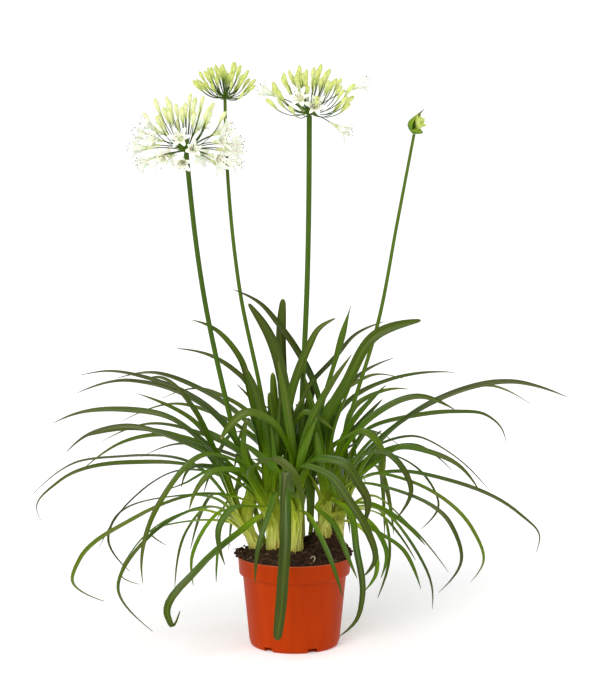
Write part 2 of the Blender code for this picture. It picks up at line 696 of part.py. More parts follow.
def flower(name, root, path_end, lead, spin):
    """An open flower: stalk, tube and a funnel that parts into six pointed lobes."""
    aim = (path_end - root).normalized()
    side = lead.orthogonal().normalized()
    side.rotate(Matrix.Rotation(spin, 3, lead))
    other = lead.cross(side)

    def spoke(step, reach, along):
        angle = math.tau * step / 12
        out = side * math.cos(angle) + other * math.sin(angle)
        return path_end + lead * FLOWER_LENGTH * along + out * FLOWER_REACH * reach

    points = ring(root, aim, PEDICEL_RADIUS, 6)
    points += [spoke(2 * i, 0.09, 0.0) for i in range(6)]
    points += [spoke(2 * i, 0.26, 0.42) for i in range(6)]
    points += [spoke(2 * i, 0.42, 0.58) for i in range(6)]
    points += [spoke(2 * i + 1, 1.0, 1.0) for i in range(6)]
    points += [spoke(2 * i, 0.36, 0.63) for i in range(6)]
    points.append(spoke(0, 0.0, 0.46))
    faces = [tuple(range(6))]
    for i in range(6):
        j = (i + 1) % 6
        for row in (0, 6, 12):
            faces.append((row + i, row + 6 + i, row + j))
            faces.append((row + j, row + 6 + i, row + 6 + j))
        faces.append((18 + i, 24 + i, 18 + j))
        faces.append((18 + i, 30 + i, 24 + i))
        faces.append((24 + i, 30 + j, 18 + j))
        faces.append((30 + i, 30 + j, 24 + i))
        faces.append((30 + i, 36, 30 + j))
    return closed_mesh(name, points, faces)


def head_direction(i, count, lowest, draw):
    """Directions over a sphere's top by the golden angle, down to the lowest angle."""
    high = math.radians(88)
    low = math.radians(lowest)
    rise = math.sin(high) + (math.sin(low) - math.sin(high)) * (i + 0.5) / count
    turn = i * math.pi * (3 - math.sqrt(5)) + draw.uniform(-0.15, 0.15)
    flat = math.sqrt(1 - rise * rise)
    return Vector((flat * math.cos(turn), flat * math.sin(turn), rise))


def make_head(head, top, parts, material):
    name, _, seed, count, lowest, pedicel, bud_length, open_below = head
    draw = random.Random(seed)
    pieces = new_collection(name + "_pieces")
    centre = top + UP * (GAP + 3.2 * MM)
    bpy.ops.mesh.primitive_uv_sphere_add(segments=6, ring_count=4, radius=4.4 * MM, location=centre)
    knob = bpy.context.object
    knob.scale.z = 0.72
    for collection in list(knob.users_collection):
        collection.objects.unlink(knob)
    pieces.objects.link(knob)
    evaluated_copy(knob, name + "_knob", pieces, None)
    places = []
    for i in range(count):
        aim = head_direction(i, count, lowest, draw)
        places.append((aim, pedicel * draw.uniform(0.9, 1.08), aim.z < math.sin(math.radians(open_below))))
    if name == "umbel_centre":
        for mouth in EARLY_FLOWERS:
            aim = Vector(mouth)
            places.append((aim.normalized(), aim.length - FLOWER_LENGTH / MM * 0.7, True))
    for i, (aim, length, is_open) in enumerate(places):
        root = centre + aim * 3.0 * MM
        end = centre + aim * length * MM
        label = f"{name}_{i + 1}"
        if is_open:
            mesh = flower(label, root, end, (aim - UP * 0.12).normalized(), draw.uniform(0, 1))
        else:
            lead = (aim + UP * 0.3).normalized()
            mesh = bud(label, root, end, lead, bud_length * MM * draw.uniform(0.88, 1.1))
        add_object(label, mesh, pieces)
    return fuse(name, pieces, parts, material)


def make_right_bud(top, along, parts, material):
    """The head that is just splitting: two spathe valves with the first buds between them."""
    pieces = new_collection("bud_right_pieces")
    base = top + along * GAP
    spindle = [(0.0, 2.2), (5.0, 6.2), (12.0, 9.6), (19.0, 8.4), (27.0, 3.6), (37.0, 0.6)]
    rings = []
    for step, radius in spindle:
        sweep = (step / 37.0) ** 2 * 3 * MM
        centre = base + along * step * MM + Vector((sweep, 0, 0))
        rings.append(ring(centre, along, radius * 0.8 * MM, 8))
    add_object("spathe", loft("spathe", rings), pieces)
    draw = random.Random(21)
    for i in range(8):
        turn = math.tau * (i * 0.382)
        out = Vector((math.cos(turn) * 0.55 + 0.35, math.sin(turn) * 0.6, draw.uniform(0.5, 1.1))).normalized()
        root = base + along * 9 * MM + out * 1 * MM
        end = root + out * draw.uniform(4, 6) * MM
        add_object(f"bud_{i}", bud(f"bud_{i}", root, end, out, draw.uniform(12, 15) * MM), pieces)
    return fuse("bud_right", pieces, parts, material)


def main():
    clear_scene()
    parts = new_collection("agapanthus_plant")
    cutters = new_collection("cutters")
    plastic = make_material("pot_plastic", (0.50, 0.035, 0.002), 0.42)
    peat = make_material("soil_peat", (0.018, 0.010, 0.006), 0.95)
    leaf = make_material("leaf", (0.045, 0.13, 0.012), 0.42)
    scape = make_material("flower_stem", (0.06, 0.17, 0.02), 0.45)
    white = make_material("flower_white", (0.80, 0.82, 0.62), 0.5)
    green = make_material("flower_bud", (0.45, 0.55, 0.16), 0.5)

    notches = bpy.data.collections.new("notch_cutters")
    cutters.children.link(notches)
    holes = bpy.data.collections.new("hole_cutters")
    cutters.children.link(holes)
    pot = make_pot(parts, notches, plastic)
    for name, place, neck, _, lean in SHOOTS:
        plain_hole(name + "_hole", lean_matrix(foot_on_soil(place), lean), neck + GAP, holes)
    for name, place, route, depth, *_ in STEMS + (YOUNG_STEM,):
        points = stem_points(place, route, depth)
        stance = (points[1] - points[0]).to_track_quat("Z", "Y").to_matrix().to_4x4()
        stance.translation = points[1]
        plain_hole(name + "_hole", stance, STEM_HOLE, holes)
    soil = make_soil(parts, holes, peat)

    clearing = Clearing()
    clearing.add("pot", tree_of(pot.data))
    clearing.add("soil", tree_of(soil.data))
    tops = {}
    for name, place, route, depth, low, high in STEMS:
        path = stem_path(place, route, depth, STEM_RINGS)
        radii = [low] + [low + (high - low) * i / STEM_RINGS for i in range(STEM_RINGS + 1)]
        stem = make_stem(name, path, radii, parts, scape)
        clearing.add(name, tree_of(stem.data))
        tops[name] = (path[-1], (path[-1] - path[-2]).normalized())
    name, place, route, depth = YOUNG_STEM
    path = stem_path(place, route, depth, 12)
    radii = [3.0] * 11 + [4.6, 4.0, 0.5]
    stem = make_stem(name, path, radii, parts, scape)
    clearing.add(name, tree_of(stem.data))

    for head in HEADS:
        material = white if head[0] == "umbel_left" else green
        item = make_head(head, tops[head[1]][0], parts, material)
        clearing.add(head[0], tree_of(item.data))
    make_right_bud(*tops["scape_right"], parts, green)
    make_shoots(parts, clearing, leaf)

    for collection in (notches, holes):
        for item in collection.objects:
            item.hide_render = True
            item.display_type = "WIRE"
    cutters.hide_render = True
    total = 0
    for item in parts.objects:
        count = sum(len(face.vertices) - 2 for face in item.data.polygons)
        total += count
        print(item.name, count)
    print("triangles", total)


main()
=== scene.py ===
"""The agapanthus in its nursery pot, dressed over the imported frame.

Metres, +Z up, the front of the plant faces -Y. The leaf routes, stems and heads are laid out as
in the part's source and kept clear of the same nodes, and each one is then skinned in full detail.
"""

import json
import math
import random

import bmesh
import bpy
from mathutils import Matrix, Vector, noise
from mathutils.bvhtree import BVHTree

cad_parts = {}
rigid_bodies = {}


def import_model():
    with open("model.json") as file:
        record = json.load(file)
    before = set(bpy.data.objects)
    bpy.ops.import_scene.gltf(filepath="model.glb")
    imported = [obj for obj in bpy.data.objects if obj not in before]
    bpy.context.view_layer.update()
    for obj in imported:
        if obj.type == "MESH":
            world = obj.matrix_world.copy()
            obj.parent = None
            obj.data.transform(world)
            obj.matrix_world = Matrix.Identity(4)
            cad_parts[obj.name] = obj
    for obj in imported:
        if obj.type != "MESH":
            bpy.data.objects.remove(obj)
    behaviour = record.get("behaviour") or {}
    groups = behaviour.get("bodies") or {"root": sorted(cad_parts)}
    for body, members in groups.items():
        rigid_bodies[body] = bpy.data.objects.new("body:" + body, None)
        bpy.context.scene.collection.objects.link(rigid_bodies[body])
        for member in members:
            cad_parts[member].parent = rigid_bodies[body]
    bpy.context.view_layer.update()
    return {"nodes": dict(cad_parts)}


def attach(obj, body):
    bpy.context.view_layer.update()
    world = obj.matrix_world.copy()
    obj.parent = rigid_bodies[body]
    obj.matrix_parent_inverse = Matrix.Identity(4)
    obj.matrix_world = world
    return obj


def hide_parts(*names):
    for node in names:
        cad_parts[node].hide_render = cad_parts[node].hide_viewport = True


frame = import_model()

MM = 0.001
GAP = 0.4 * MM
UP = Vector((0.0, 0.0, 1.0))

# View that the leaf routes were measured from.
VIEW_DISTANCE = 3.0
VIEW_HEIGHT = 0.78

# Pot.
POT_HEIGHT = 136 * MM
RIM_RADIUS = 85 * MM
RIM_FOOT_RADIUS = 83.2 * MM
RIM_HEIGHT = 26.5 * MM
BODY_RADIUS = 78 * MM
BASE_RADIUS = 67.4 * MM
WALL = 1.6 * MM
NOTCH_COUNT = 6
NOTCH_FIRST = math.radians(-36)
NOTCH_WIDTH = 15 * MM
NOTCH_HEIGHT = 4.5 * MM
NOTCH_DEPTH = 9 * MM

# Soil: a dome with a mound at the right and lumps on its face.
SOIL_EDGE = 138.5 * MM
SOIL_DOME = 9 * MM
SOIL_OVERHANG = 86.6 * MM
MOUND_CENTRE = Vector((0.050, 0.026))
MOUND_HEIGHT = 27 * MM
MOUND_SPREAD = 29 * MM
LUMP = 2.2 * MM
ROOTING = 24 * MM

# Shoots: name, foot on the soil (x, y), neck radius, neck height, lean to the right in degrees.
SHOOTS = (
    ("shoot_1", (-0.056, 0.014), 0.0085, 0.050, -24),
    ("shoot_2", (-0.027, 0.000), 0.0130, 0.078, -7),
    ("shoot_3", (0.000, -0.019), 0.0120, 0.082, 0),
    ("shoot_4", (0.004, 0.057), 0.0110, 0.070, 0),
    ("shoot_5", (0.043, 0.015), 0.0105, 0.060, 5),
    ("shoot_6", (0.063, 0.036), 0.0090, 0.055, 10),
)

# Leaves seen one by one: shoot, route after the foot (x, z), depth of the tip, width, roll.
LEAVES = (
    # Upright and arching leaves of the crown.
    (3, ((-7, 324), (-14, 385), (-37, 468), (-68, 515)), -12, 15, -78),
    (4, ((-16, 370), (-20, 475), (-17, 522)), 30, 13, -8),
    (5, ((26, 403), (-22, 482), (-52, 516), (-91, 536)), 20, 10, -30),
    (3, ((-5, 378), (23, 454), (35, 476), (61, 493)), 30, 11, 55),
    (5, ((46, 340), (76, 393), (121, 468), (188, 490)), -15, 14, 62),
    (4, ((23, 393), (61, 435), (91, 469), (133, 488)), 60, 9, 15),
    (2, ((-64, 370), (-82, 435), (-127, 482), (-154, 491)), 15, 10, -24),
    (2, ((-76, 403), (-127, 438), (-175, 448)), 70, 9, -12),
    (3, ((-7, 294), (-37, 340), (-67, 352), (-110, 312)), -70, 12, -30),
    (2, ((-77, 302), (-71, 340)), -30, 9, 40),
    (2, ((-30, 300), (-37, 382)), -18, 9, 30),
    (3, ((-10, 300), (16, 352), (61, 323)), -60, 10, 25),
    (4, ((14, 330), (32, 404)), 14, 12, 60),
    (5, ((60, 330), (86, 396)), 2, 11, 50),
    (2, ((-52, 300), (-68, 356)), 12, 11, -50),
    (3, ((18, 300), (38, 360)), -38, 12, 60),
    # Left side, from the top down.
    (2, ((-142, 370), (-217, 403), (-280, 414), (-319, 408)), 110, 8, -5),
    (2, ((-142, 366), (-217, 396), (-254, 400), (-325, 381)), 30, 8, -5),
    (4, ((-142, 388), (-217, 412), (-266, 403)), 170, 8, -8),
    (1, ((-131, 321), (-149, 355), (-205, 405), (-223, 402)), -20, 10, -22),
    (4, ((-95, 370), (-142, 388), (-199, 373)), 190, 8, 0),
    (1, ((-157, 344), (-236, 381)), 90, 8, -5),
    (4, ((-120, 350), (-175, 365), (-260, 338)), 220, 8, 0),
    (2, ((-131, 305), (-194, 347), (-247, 356), (-329, 349), (-362, 335)), -15, 10, -14),
    (1, ((-149, 317), (-202, 353)), 50, 8, -10),
    (2, ((-100, 270), (-172, 310), (-254, 331), (-314, 315), (-341, 292)), -70, 10, -12),
    (1, ((-150, 305), (-232, 327), (-319, 314)), 95, 9, -6),
    (4, ((-140, 320), (-217, 335), (-287, 309)), 160, 8, 0),
    (1, ((-130, 300), (-190, 318), (-254, 308), (-319, 264)), 25, 9, -6),
    (4, ((-100, 290), (-179, 304), (-230, 285)), 200, 8, 0),
    (1, ((-160, 278), (-269, 285), (-329, 276), (-394, 227)), 140, 8, 0),
    (2, ((-100, 258), (-172, 275), (-217, 277), (-352, 248), (-387, 207), (-380, 186)),
     -40, 10, -10),
    (2, ((-110, 268), (-157, 267), (-170, 238)), -60, 9, -10),
    (1, ((-110, 255), (-172, 265), (-247, 218), (-296, 144)), 90, 8, 0),
    (1, ((-120, 222), (-179, 226), (-272, 188), (-280, 162), (-248, 110)), 130, 8, 0),
    (2, ((-80, 222), (-134, 229), (-247, 188), (-322, 130), (-334, 96), (-286, 64)), -95, 11, -16),
    (2, ((-90, 280), (-128, 289), (-200, 218), (-230, 119), (-228, 90)), -60, 10, -24),
    (1, ((-119, 210), (-209, 172), (-265, 81), (-214, 18)), -105, 9, 0),
    (1, ((-142, 189), (-215, 166), (-193, 150)), 70, 8, 0),
    (1, ((-127, 203), (-239, 150), (-260, 102), (-233, 90)), 30, 8, 0),
    (1, ((-134, 207), (-161, 175), (-181, 83)), 110, 7, 0),
    (1, ((-109, 203), (-154, 131), (-152, 87)), -75, 8, 0),
    (2, ((-48, 195), (-80, 172), (-144, 115), (-191, 42), (-184, 27), (-172, 50)), -140, 12, -20),
    (2, ((-60, 210), (-94, 206), (-112, 180), (-104, 119)), -110, 10, -10),
    (1, ((-104, 195), (-116, 131), (-118, 93)), -50, 7, 0),
    (2, ((-85, 265), (-122, 262), (-146, 236), (-158, 204)), -85, 10, -20),
    (1, ((-127, 264), (-164, 245), (-190, 235)), 45, 7, 0),
    # Right side, from the top down.
    (4, ((60, 370), (109, 417), (148, 434)), 110, 8, 8),
    (4, ((101, 384), (173, 409), (218, 413), (238, 412)), 160, 8, 5),
    (4, ((80, 390), (121, 409), (161, 403)), 190, 8, 0),
    (6, ((98, 368), (154, 388), (170, 387)), 70, 9, 14),
    (5, ((101, 286), (158, 337), (211, 370), (326, 398), (407, 375)), 10, 10, 12),
    (6, ((150, 330), (215, 372), (293, 392), (352, 365)), 110, 8, 0),
    (6, ((106, 324), (180, 347), (241, 353), (286, 348), (308, 330), (317, 306)), 60, 9, 8),
    (5, ((83, 309), (113, 343), (188, 376), (241, 355)), -30, 10, 24),
    (6, ((120, 300), (181, 316), (233, 291), (293, 233)), 130, 7, 0),
    (5, ((113, 268), (158, 299), (203, 292), (248, 270), (278, 232)), -50, 10, 10),
    (6, ((125, 290), (181, 302), (235, 265)), 90, 8, 6),
    (5, ((70, 310), (101, 324), (128, 302), (133, 253)), -70, 10, 20),
    (4, ((80, 315), (113, 324), (157, 302)), 170, 8, 0),
    (5, ((113, 257), (158, 263), (218, 253), (338, 198), (368, 165), (364, 140)), -10, 10, 10),
    (6, ((113, 259), (173, 248), (266, 177), (284, 124), (265, 93)), -60, 10, 10),
    (5, ((106, 245), (136, 239), (233, 185), (251, 127), (217, 77)), -110, 9, 8),
    (6, ((128, 292), (188, 264), (215, 207), (190, 175)), 110, 8, 0),
    (5, ((95, 285), (136, 291), (175, 233), (151, 188)), -85, 9, 14),
    (6, ((113, 226), (173, 181), (232, 109)), 60, 8, 0),
    (6, ((116, 213), (166, 183), (197, 150)), -80, 9, 12),
    (5, ((91, 195), (113, 178), (166, 140), (191, 83)), -135, 9, 8),
    (6, ((125, 207), (181, 145), (208, 81), (208, 52)), -30, 8, 0),
    (6, ((125, 200), (158, 165), (182, 127)), 130, 8, 0),
    (6, ((118, 180), (139, 134), (130, 99)), -80, 8, 5),
    (6, ((125, 206), (143, 145), (125, 69)), 80, 7, 0),
    (6, ((106, 172), (122, 104), (104, 78)), -60, 7, 0),
    # Front of the plant.
    (3, ((41, 282), (76, 274), (94, 248), (110, 218), (107, 188)), -110, 13, 25),
    (3, ((16, 271), (53, 256), (83, 218), (110, 172), (121, 127), (106, 104)), -130, 12, 15),
    (5, ((60, 218), (79, 206), (94, 142), (103, 74), (94, 36), (68, 10)), -120, 9, 20),
    (5, ((35, 206), (61, 180), (83, 127), (95, 99)), -130, 8, 10),
    (3, ((22, 195), (35, 172), (58, 119), (73, 71)), -128, 7, 10),
    (3, ((-14, 258), (-13, 218), (-13, 157), (-16, 112), (-19, 66), (-26, 4)), -138, 16, 0),
    (2, ((-31, 225), (-37, 203), (-55, 142), (-59, 92)), -125, 8, 10),
    (2, ((-49, 277), (-32, 283), (-4, 264), (11, 226), (14, 200)), -95, 11, 10),
    (3, ((-7, 271), (8, 268), (20, 245), (22, 185)), -90, 11, 5),
)

# More leaves by rule: shoot, how many, first and last heading in degrees (0 = right, 90 = back).
FILL = (
    (1, 2, 95, 130),
    (2, 2, 90, 112),
    (3, 1, 255, 285),
    (4, 9, 55, 130),
    (6, 4, 60, 100),
)
FILL_SEED = 7
ROOT_SEED = 9
ROOT_TRIES = 8
# Ways in depth that a leaf is moved, in millimetres, and the room that it is given.
DEPTH_PUSHES = (0, *(sign * push for push in range(7, 106, 7) for sign in (1, -1)))
ROOM_TO_OTHERS = 0.5 * MM
ROOM_TO_OWN = 0.12 * MM
RING_PITCH = 80 * MM
FEWEST_RINGS = 5
MOST_RINGS = 9
BEND_SHARE = 110 * MM
KEEL = 0.17
THINNEST = 0.8 * MM
LOWEST_TIP = 14 * MM
# Share of its length over which a leaf spreads to the depth of its tip.
SPREAD_SHARE = 0.8

# Flower stems: name, foot (x, y), front route up to the head, depth of the top, radii foot and top.
STEMS = (
    ("scape_left", (-0.045, 0.038), ((-102, 370), (-133, 519), (-159, 737)), -20, 3.9, 3.6),
    ("scape_back", (-0.024, 0.034), ((-48, 370), (-81, 534), (-98, 697), (-102, 815)),
     50, 3.7, 2.4),
    ("scape_centre", (0.004, 0.012), ((11, 362), (19, 549), (22, 792)), 0, 4.1, 3.9),
    ("scape_right", (0.036, 0.052), ((83, 347), (125, 490), (151, 630), (176, 765)), 30, 3.7, 2.2),
)
YOUNG_STEM = ("scape_young", (0.024, 0.034), ((41, 362), (61, 431), (74, 478), (84, 513)), 25)

# Heads: name, stem, seed, pedicels, lowest angle, pedicel length, bud length, open below (degrees).
HEADS = (
    ("umbel_left", "scape_left", 11, 38, -28, 47, 25, 34),
    ("umbel_back", "scape_back", 12, 32, -2, 29, 18, -90),
    ("umbel_centre", "scape_centre", 13, 30, -8, 44, 24, -90),
)
# Flowers that have opened early on the centre head: across, depth and height of their mouths.
EARLY_FLOWERS = ((-62, -10, 24), (72, 10, 47), (45, -12, -24), (-14, -50, 22), (8, -46, 10))
FLOWER_LENGTH = 27 * MM
FLOWER_REACH = 15.5 * MM

# More leaves in the heart of the clumps: shoot, how many, lowest and highest tip in millimetres.
INNER = (
    (1, 3, 250, 330), (2, 8, 290, 430), (3, 9, 300, 440),
    (4, 7, 300, 420), (5, 7, 290, 420), (6, 5, 250, 370),
)
INNER_SEED = 5
# Dressed leaves turn their upper faces to the viewer, in degrees, and are a little wider.
SHOWN_ROLL = 22
SHOWN_WIDTH = 1.12

# How bright each stem is (0 to 1), and how pale the buds of each head are, green (0) to white (1).
STEM_TONES = {
    "scape_left": 0.05, "scape_back": 0.35, "scape_centre": 0.1, "scape_right": 0.45,
    "scape_young": 0.4,
}
HEAD_PALENESS = {"umbel_left": 0.66, "umbel_back": 0.14, "umbel_centre": 0.22}
# Buds that the solids leave out, and how much longer the dressed buds and their pedicels are.
EXTRA_BUDS = {"umbel_left": 18, "umbel_back": 11, "umbel_centre": 18}
BUD_STRETCH = {"umbel_left": 1.0, "umbel_back": 1.2, "umbel_centre": 1.0}
BUD_REACH = {"umbel_left": 1.28, "umbel_back": 1.1, "umbel_centre": 1.12}

# Camera and lamps.
VIEW_ACROSS = 8.3 * MM
VIEW_PITCH = 6.12
VIEW_FOCAL = 2029.0 / 683.0 * 36.0
SKY_LIGHT = 0.58
SKY_SEEN = 1.1
FLOOR_GLOW = 0.25
FLOOR_REACH = 12
# Lamps: name, place that it shines from, spread in degrees and strength.
LAMPS = (("key", (-1.3, -2.7, 1.9), 34, 2.0), ("fill", (2.4, -1.6, 1.9), 60, 0.5))


def seen_at(x, z, depth):
    """Carry a front-view point in millimetres along the line of sight to a depth in metres."""
    height = z * MM
    return Vector((
        x * MM * (1.0 + depth / VIEW_DISTANCE),
        depth,
        height - depth * (VIEW_HEIGHT - height) / VIEW_DISTANCE,
    ))


def smooth_path(points, start, count=None):
    """Set points along a smooth curve through the given ones, closer together where it bends."""
    chords = [(b - a).length for a, b in zip(points, points[1:])]
    runs = [(b - a) / chord for a, b, chord in zip(points, points[1:], chords)]
    slopes = [start.normalized()]
    for i in range(1, len(points) - 1):
        share = chords[i - 1] / (chords[i - 1] + chords[i])
        slopes.append(runs[i - 1].lerp(runs[i], share))
    slopes.append((runs[-1] * 1.6 - slopes[-1] * 0.6).normalized())
    dense = []
    for i, chord in enumerate(chords):
        for k in range(16):
            t = k / 16.0
            place = points[i] * (2 * t ** 3 - 3 * t ** 2 + 1)
            place += points[i + 1] * (3 * t ** 2 - 2 * t ** 3)
            pull = slopes[i] * (t ** 3 - 2 * t ** 2 + t) + slopes[i + 1] * (t ** 3 - t ** 2)
            dense.append(place + pull * chord)
    dense.append(points[-1])
    reach = [0.0]
    for i in range(len(dense) - 1):
        run = dense[i + 1] - dense[i]
        turn = run.angle(dense[i] - dense[i - 1]) if i else 0.0
        reach.append(reach[-1] + run.length + turn * BEND_SHARE)
    if count is None:
        count = min(MOST_RINGS, max(FEWEST_RINGS, round(reach[-1] / RING_PITCH)))
    path = []
    k = 0
    for i in range(count + 1):
        target = reach[-1] * i / count
        while k < len(dense) - 2 and reach[k + 1] < target:
            k += 1
        share = (target - reach[k]) / (reach[k + 1] - reach[k])
        path.append(dense[k].lerp(dense[k + 1], min(share, 1.0)))
    return path


def tangents(path):
    ends = [path[0]] + path + [path[-1]]
    return [(ends[i + 2] - ends[i]).normalized() for i in range(len(path))]


def on_circle(radius, angle, height):
    """A point beside the upright axis."""
    return Vector((radius * math.cos(angle), radius * math.sin(angle), height))


def loft(rings):
    """Points and faces that skin rings with equal counts into one closed body."""
    sides = len(rings[0])
    points = [point for ring in rings for point in ring]
    faces = [tuple(range(sides)), tuple(len(points) - 1 - i for i in range(sides))]
    for row in range(len(rings) - 1):
        for i in range(sides):
            a = row * sides + i
            b = row * sides + (i + 1) % sides
            faces += [(a, b + sides, b), (a, a + sides, b + sides)]
    return points, faces


def soil_height(x, y):
    """Height of the soil's face: dome, mound and seeded lumps."""
    radius = math.hypot(x, y)
    dome = SOIL_DOME * max(0.0, 1.0 - (radius / SOIL_OVERHANG) ** 2)
    away = (Vector((x, y)) - MOUND_CENTRE).length / MOUND_SPREAD
    fade = min(1.0, max(0.0, (SOIL_OVERHANG - radius) / (14 * MM)))
    mound = MOUND_HEIGHT * math.exp(-away ** 2) * fade
    lump = LUMP * noise.noise(Vector((x, y, 0.0)) * 55.0)
    return SOIL_EDGE + dome + mound + lump


def inner_radius(z):
    """Radius of the pot's inner face at a height."""
    step = POT_HEIGHT - RIM_HEIGHT
    if z > step:
        return RIM_FOOT_RADIUS + (RIM_RADIUS - RIM_FOOT_RADIUS) * (z - step) / RIM_HEIGHT - WALL
    return BASE_RADIUS + (BODY_RADIUS - BASE_RADIUS) * z / step - WALL


def lean_matrix(foot, lean):
    return Matrix.Translation(foot) @ Matrix.Rotation(math.radians(lean), 4, "Y")


def foot_on_soil(place):
    return Vector((place[0], place[1], soil_height(*place)))


def leaf_route(shoot, route, depth, root):
    """Points of a leaf from inside its shoot's neck to its tip, its first slope and heading."""
    _, place, neck, tall, lean = SHOOTS[shoot - 1]
    foot = foot_on_soil(place)
    crest = seen_at(*route[-1], depth)
    away = crest - foot
    away.z = 0.0
    spread = min(1.0, away.length / (180 * MM))
    heading = away.normalized()
    axis = lean_matrix(foot, lean)
    first = seen_at(*route[0], foot.y) - foot
    steep = math.atan2(first.z, Vector((first.x, first.y)).length)
    steep = min(1.0, max(0.0, (math.degrees(steep) - 40) / 45))
    level = tall * (0.2 + 0.3 * steep + 0.25 * root.z)
    start = axis @ Vector((root.x * neck, root.y * neck, level))
    start += heading * neck * 0.3 * (1.0 - steep)
    lengths = [0.0]
    before = Vector((foot.x / MM, foot.z / MM))
    for point in route:
        lengths.append(lengths[-1] + (Vector(point) - before).length)
        before = Vector(point)
    points = [start]
    for point, length in zip(route, lengths[1:]):
        turn = math.sin(math.pi / 2 * min(1.0, length / lengths[-1] / SPREAD_SHARE))
        points.append(seen_at(*point, foot.y + (depth - foot.y) * turn))
    rise = UP + heading * 0.22 * spread + (axis.to_3x3() @ UP - UP)
    return points, rise, heading


def blade_tree(points, rise, heading, width, roll, extra=0.0, leave=0.0):
    """Search tree of a solid leaf, a strap with a keel below: three-sided rings along its path."""
    path = smooth_path(points, rise)
    side = UP.cross(heading).normalized()
    built = []
    for i, (point, along) in enumerate(zip(path, tangents(path))):
        t = i / (len(path) - 1)
        taper = max(0.0, (t - 0.5) / 0.5)
        half = width * MM * (0.12 + 0.41 * min(1.0, t * 3.0)) * (1.0 - taper ** 2.4)
        half += 0.4 * MM + extra
        across = (side - along * side.dot(along)).normalized()
        across.rotate(Matrix.Rotation(math.radians(roll) * min(1.0, t * 1.8), 3, along))
        down = across.cross(along).normalized()
        if down.z > 0 and abs(roll) < 60 and t < 0.15:
            down = -down
        deep = max(THINNEST, half * 2 * KEEL) + extra
        built.append((
            point - across * half - down * extra,
            point + across * half - down * extra,
            point + down * deep,
        ))
    if leave:
        share = min(0.95, leave / (path[1] - path[0]).length)
        built[0] = tuple(a.lerp(b, share) for a, b in zip(built[0], built[1]))
    return BVHTree.FromPolygons(*loft(built))


def node_tree(name):
    mesh = frame["nodes"][name].data
    return BVHTree.FromPolygons(
        [vertex.co for vertex in mesh.vertices],
        [tuple(face.vertices) for face in mesh.polygons],
    )


class Clearing:
    """Keeps what is already built, so that each new leaf can be bent clear of it."""

    def __init__(self):
        self.others = []

    def add(self, owner, tree, outer=None):
        self.others.append((owner, tree, outer))

    def leaves_room(self, owner, tree, outer):
        """Whether a leaf misses other pieces and, past its root, the leaves of its own shoot."""
        for other, other_tree, other_outer in self.others:
            if other != owner:
                if tree.overlap(other_tree):
                    return False
            elif other_outer is not None and outer.overlap(other_outer):
                return False
        return True


def place_leaf(leaf, clearing, draw):
    """Bend a leaf in depth, and move its root in the neck, until it is clear of what stands."""
    shoot, route, depth, width, roll = leaf
    owner, _, _, tall, _ = SHOOTS[shoot - 1]
    rooted = tall * 0.5
    for push in DEPTH_PUSHES:
        for _ in range(ROOT_TRIES):
            turn = draw.uniform(0, math.tau)
            root = on_circle(0.5 * math.sqrt(draw.random()), turn, draw.random())
            points, rise, heading = leaf_route(shoot, route, (depth + push) * MM, root)
            if min(point.z for point in points) < LOWEST_TIP:
                continue
            form = (points, rise, heading, width, roll)
            whole = blade_tree(*form, extra=ROOM_TO_OTHERS)
            outer = blade_tree(*form, extra=ROOM_TO_OWN, leave=rooted)
            if clearing.leaves_room(owner, whole, outer):
                clearing.add(owner, blade_tree(*form), blade_tree(*form, leave=rooted))
                return shoot, *form
    return None


def fill_leaves():
    """Arching leaves by rule, each with seeded reach, height, width and droop."""
    draw = random.Random(FILL_SEED)
    leaves = []
    for shoot, count, first, last in FILL:
        place = SHOOTS[shoot - 1][1]
        for i in range(count):
            heading = math.radians(first + (last - first) * (i + draw.uniform(0.2, 0.8)) / count)
            reach = draw.uniform(150, 300)
            crest = draw.uniform(225, 345)
            tip = max(60, crest - draw.uniform(0.2, 0.62) * reach)
            x = place[0] / MM
            y = place[1] / MM
            across = math.cos(heading) * reach
            depth = y + math.sin(heading) * reach
            route = (
                (x + across * 0.30, crest * 0.86 + 12),
                (x + across * 0.62, crest),
                (x + across, tip),
            )
            leaves.append((shoot, route, depth, draw.uniform(8, 11), draw.uniform(-14, 14)))
    return leaves


def stem_points(place, route, depth):
    """Points of a flower stem, straight in the soil and then up the route to its head."""
    foot = foot_on_soil(place)
    points = [foot]
    top = route[-1][1] * MM
    for x, z in route:
        share = min(1.0, (z * MM - foot.z) / (top - foot.z))
        points.append(seen_at(x, z, foot.y + (depth * MM - foot.y) * share))
    aim = (points[1] - points[0]).normalized()
    return [foot - aim * (ROOTING - GAP)] + points


def stem_path(place, route, depth, count):
    points = stem_points(place, route, depth)
    above = smooth_path(points[1:], points[1] - points[0], count)
    return [points[0]] + above


def head_direction(i, count, lowest, draw):
    """Directions over a sphere's top by the golden angle, down to the lowest angle."""
    high = math.radians(88)
    low = math.radians(lowest)
    rise = math.sin(high) + (math.sin(low) - math.sin(high)) * (i + 0.5) / count
    turn = i * math.pi * (3 - math.sqrt(5)) + draw.uniform(-0.15, 0.15)
    flat = math.sqrt(1 - rise * rise)
    return Vector((flat * math.cos(turn), flat * math.sin(turn), rise))


def neck_tree(place, neck, tall, lean):
    """Search tree of a solid's neck, which the leaves of other shoots are kept clear of."""
    sides = 9
    profile = [
        (0.7, -ROOTING), (0.96, -ROOTING * 0.6),
        (1.0, 0.0), (1.0, tall * 0.25), (0.75, tall * 0.72), (0.35, tall * 0.97),
    ]
    rings = [
        [on_circle(neck * wide, math.tau * (0.125 + i / sides), height) for i in range(sides)]
        for wide, height in profile
    ]
    rings.append([UP * tall] * sides)
    points, faces = loft(rings)
    stance = lean_matrix(foot_on_soil(place), lean)
    return BVHTree.FromPolygons([stance @ point for point in points], faces)


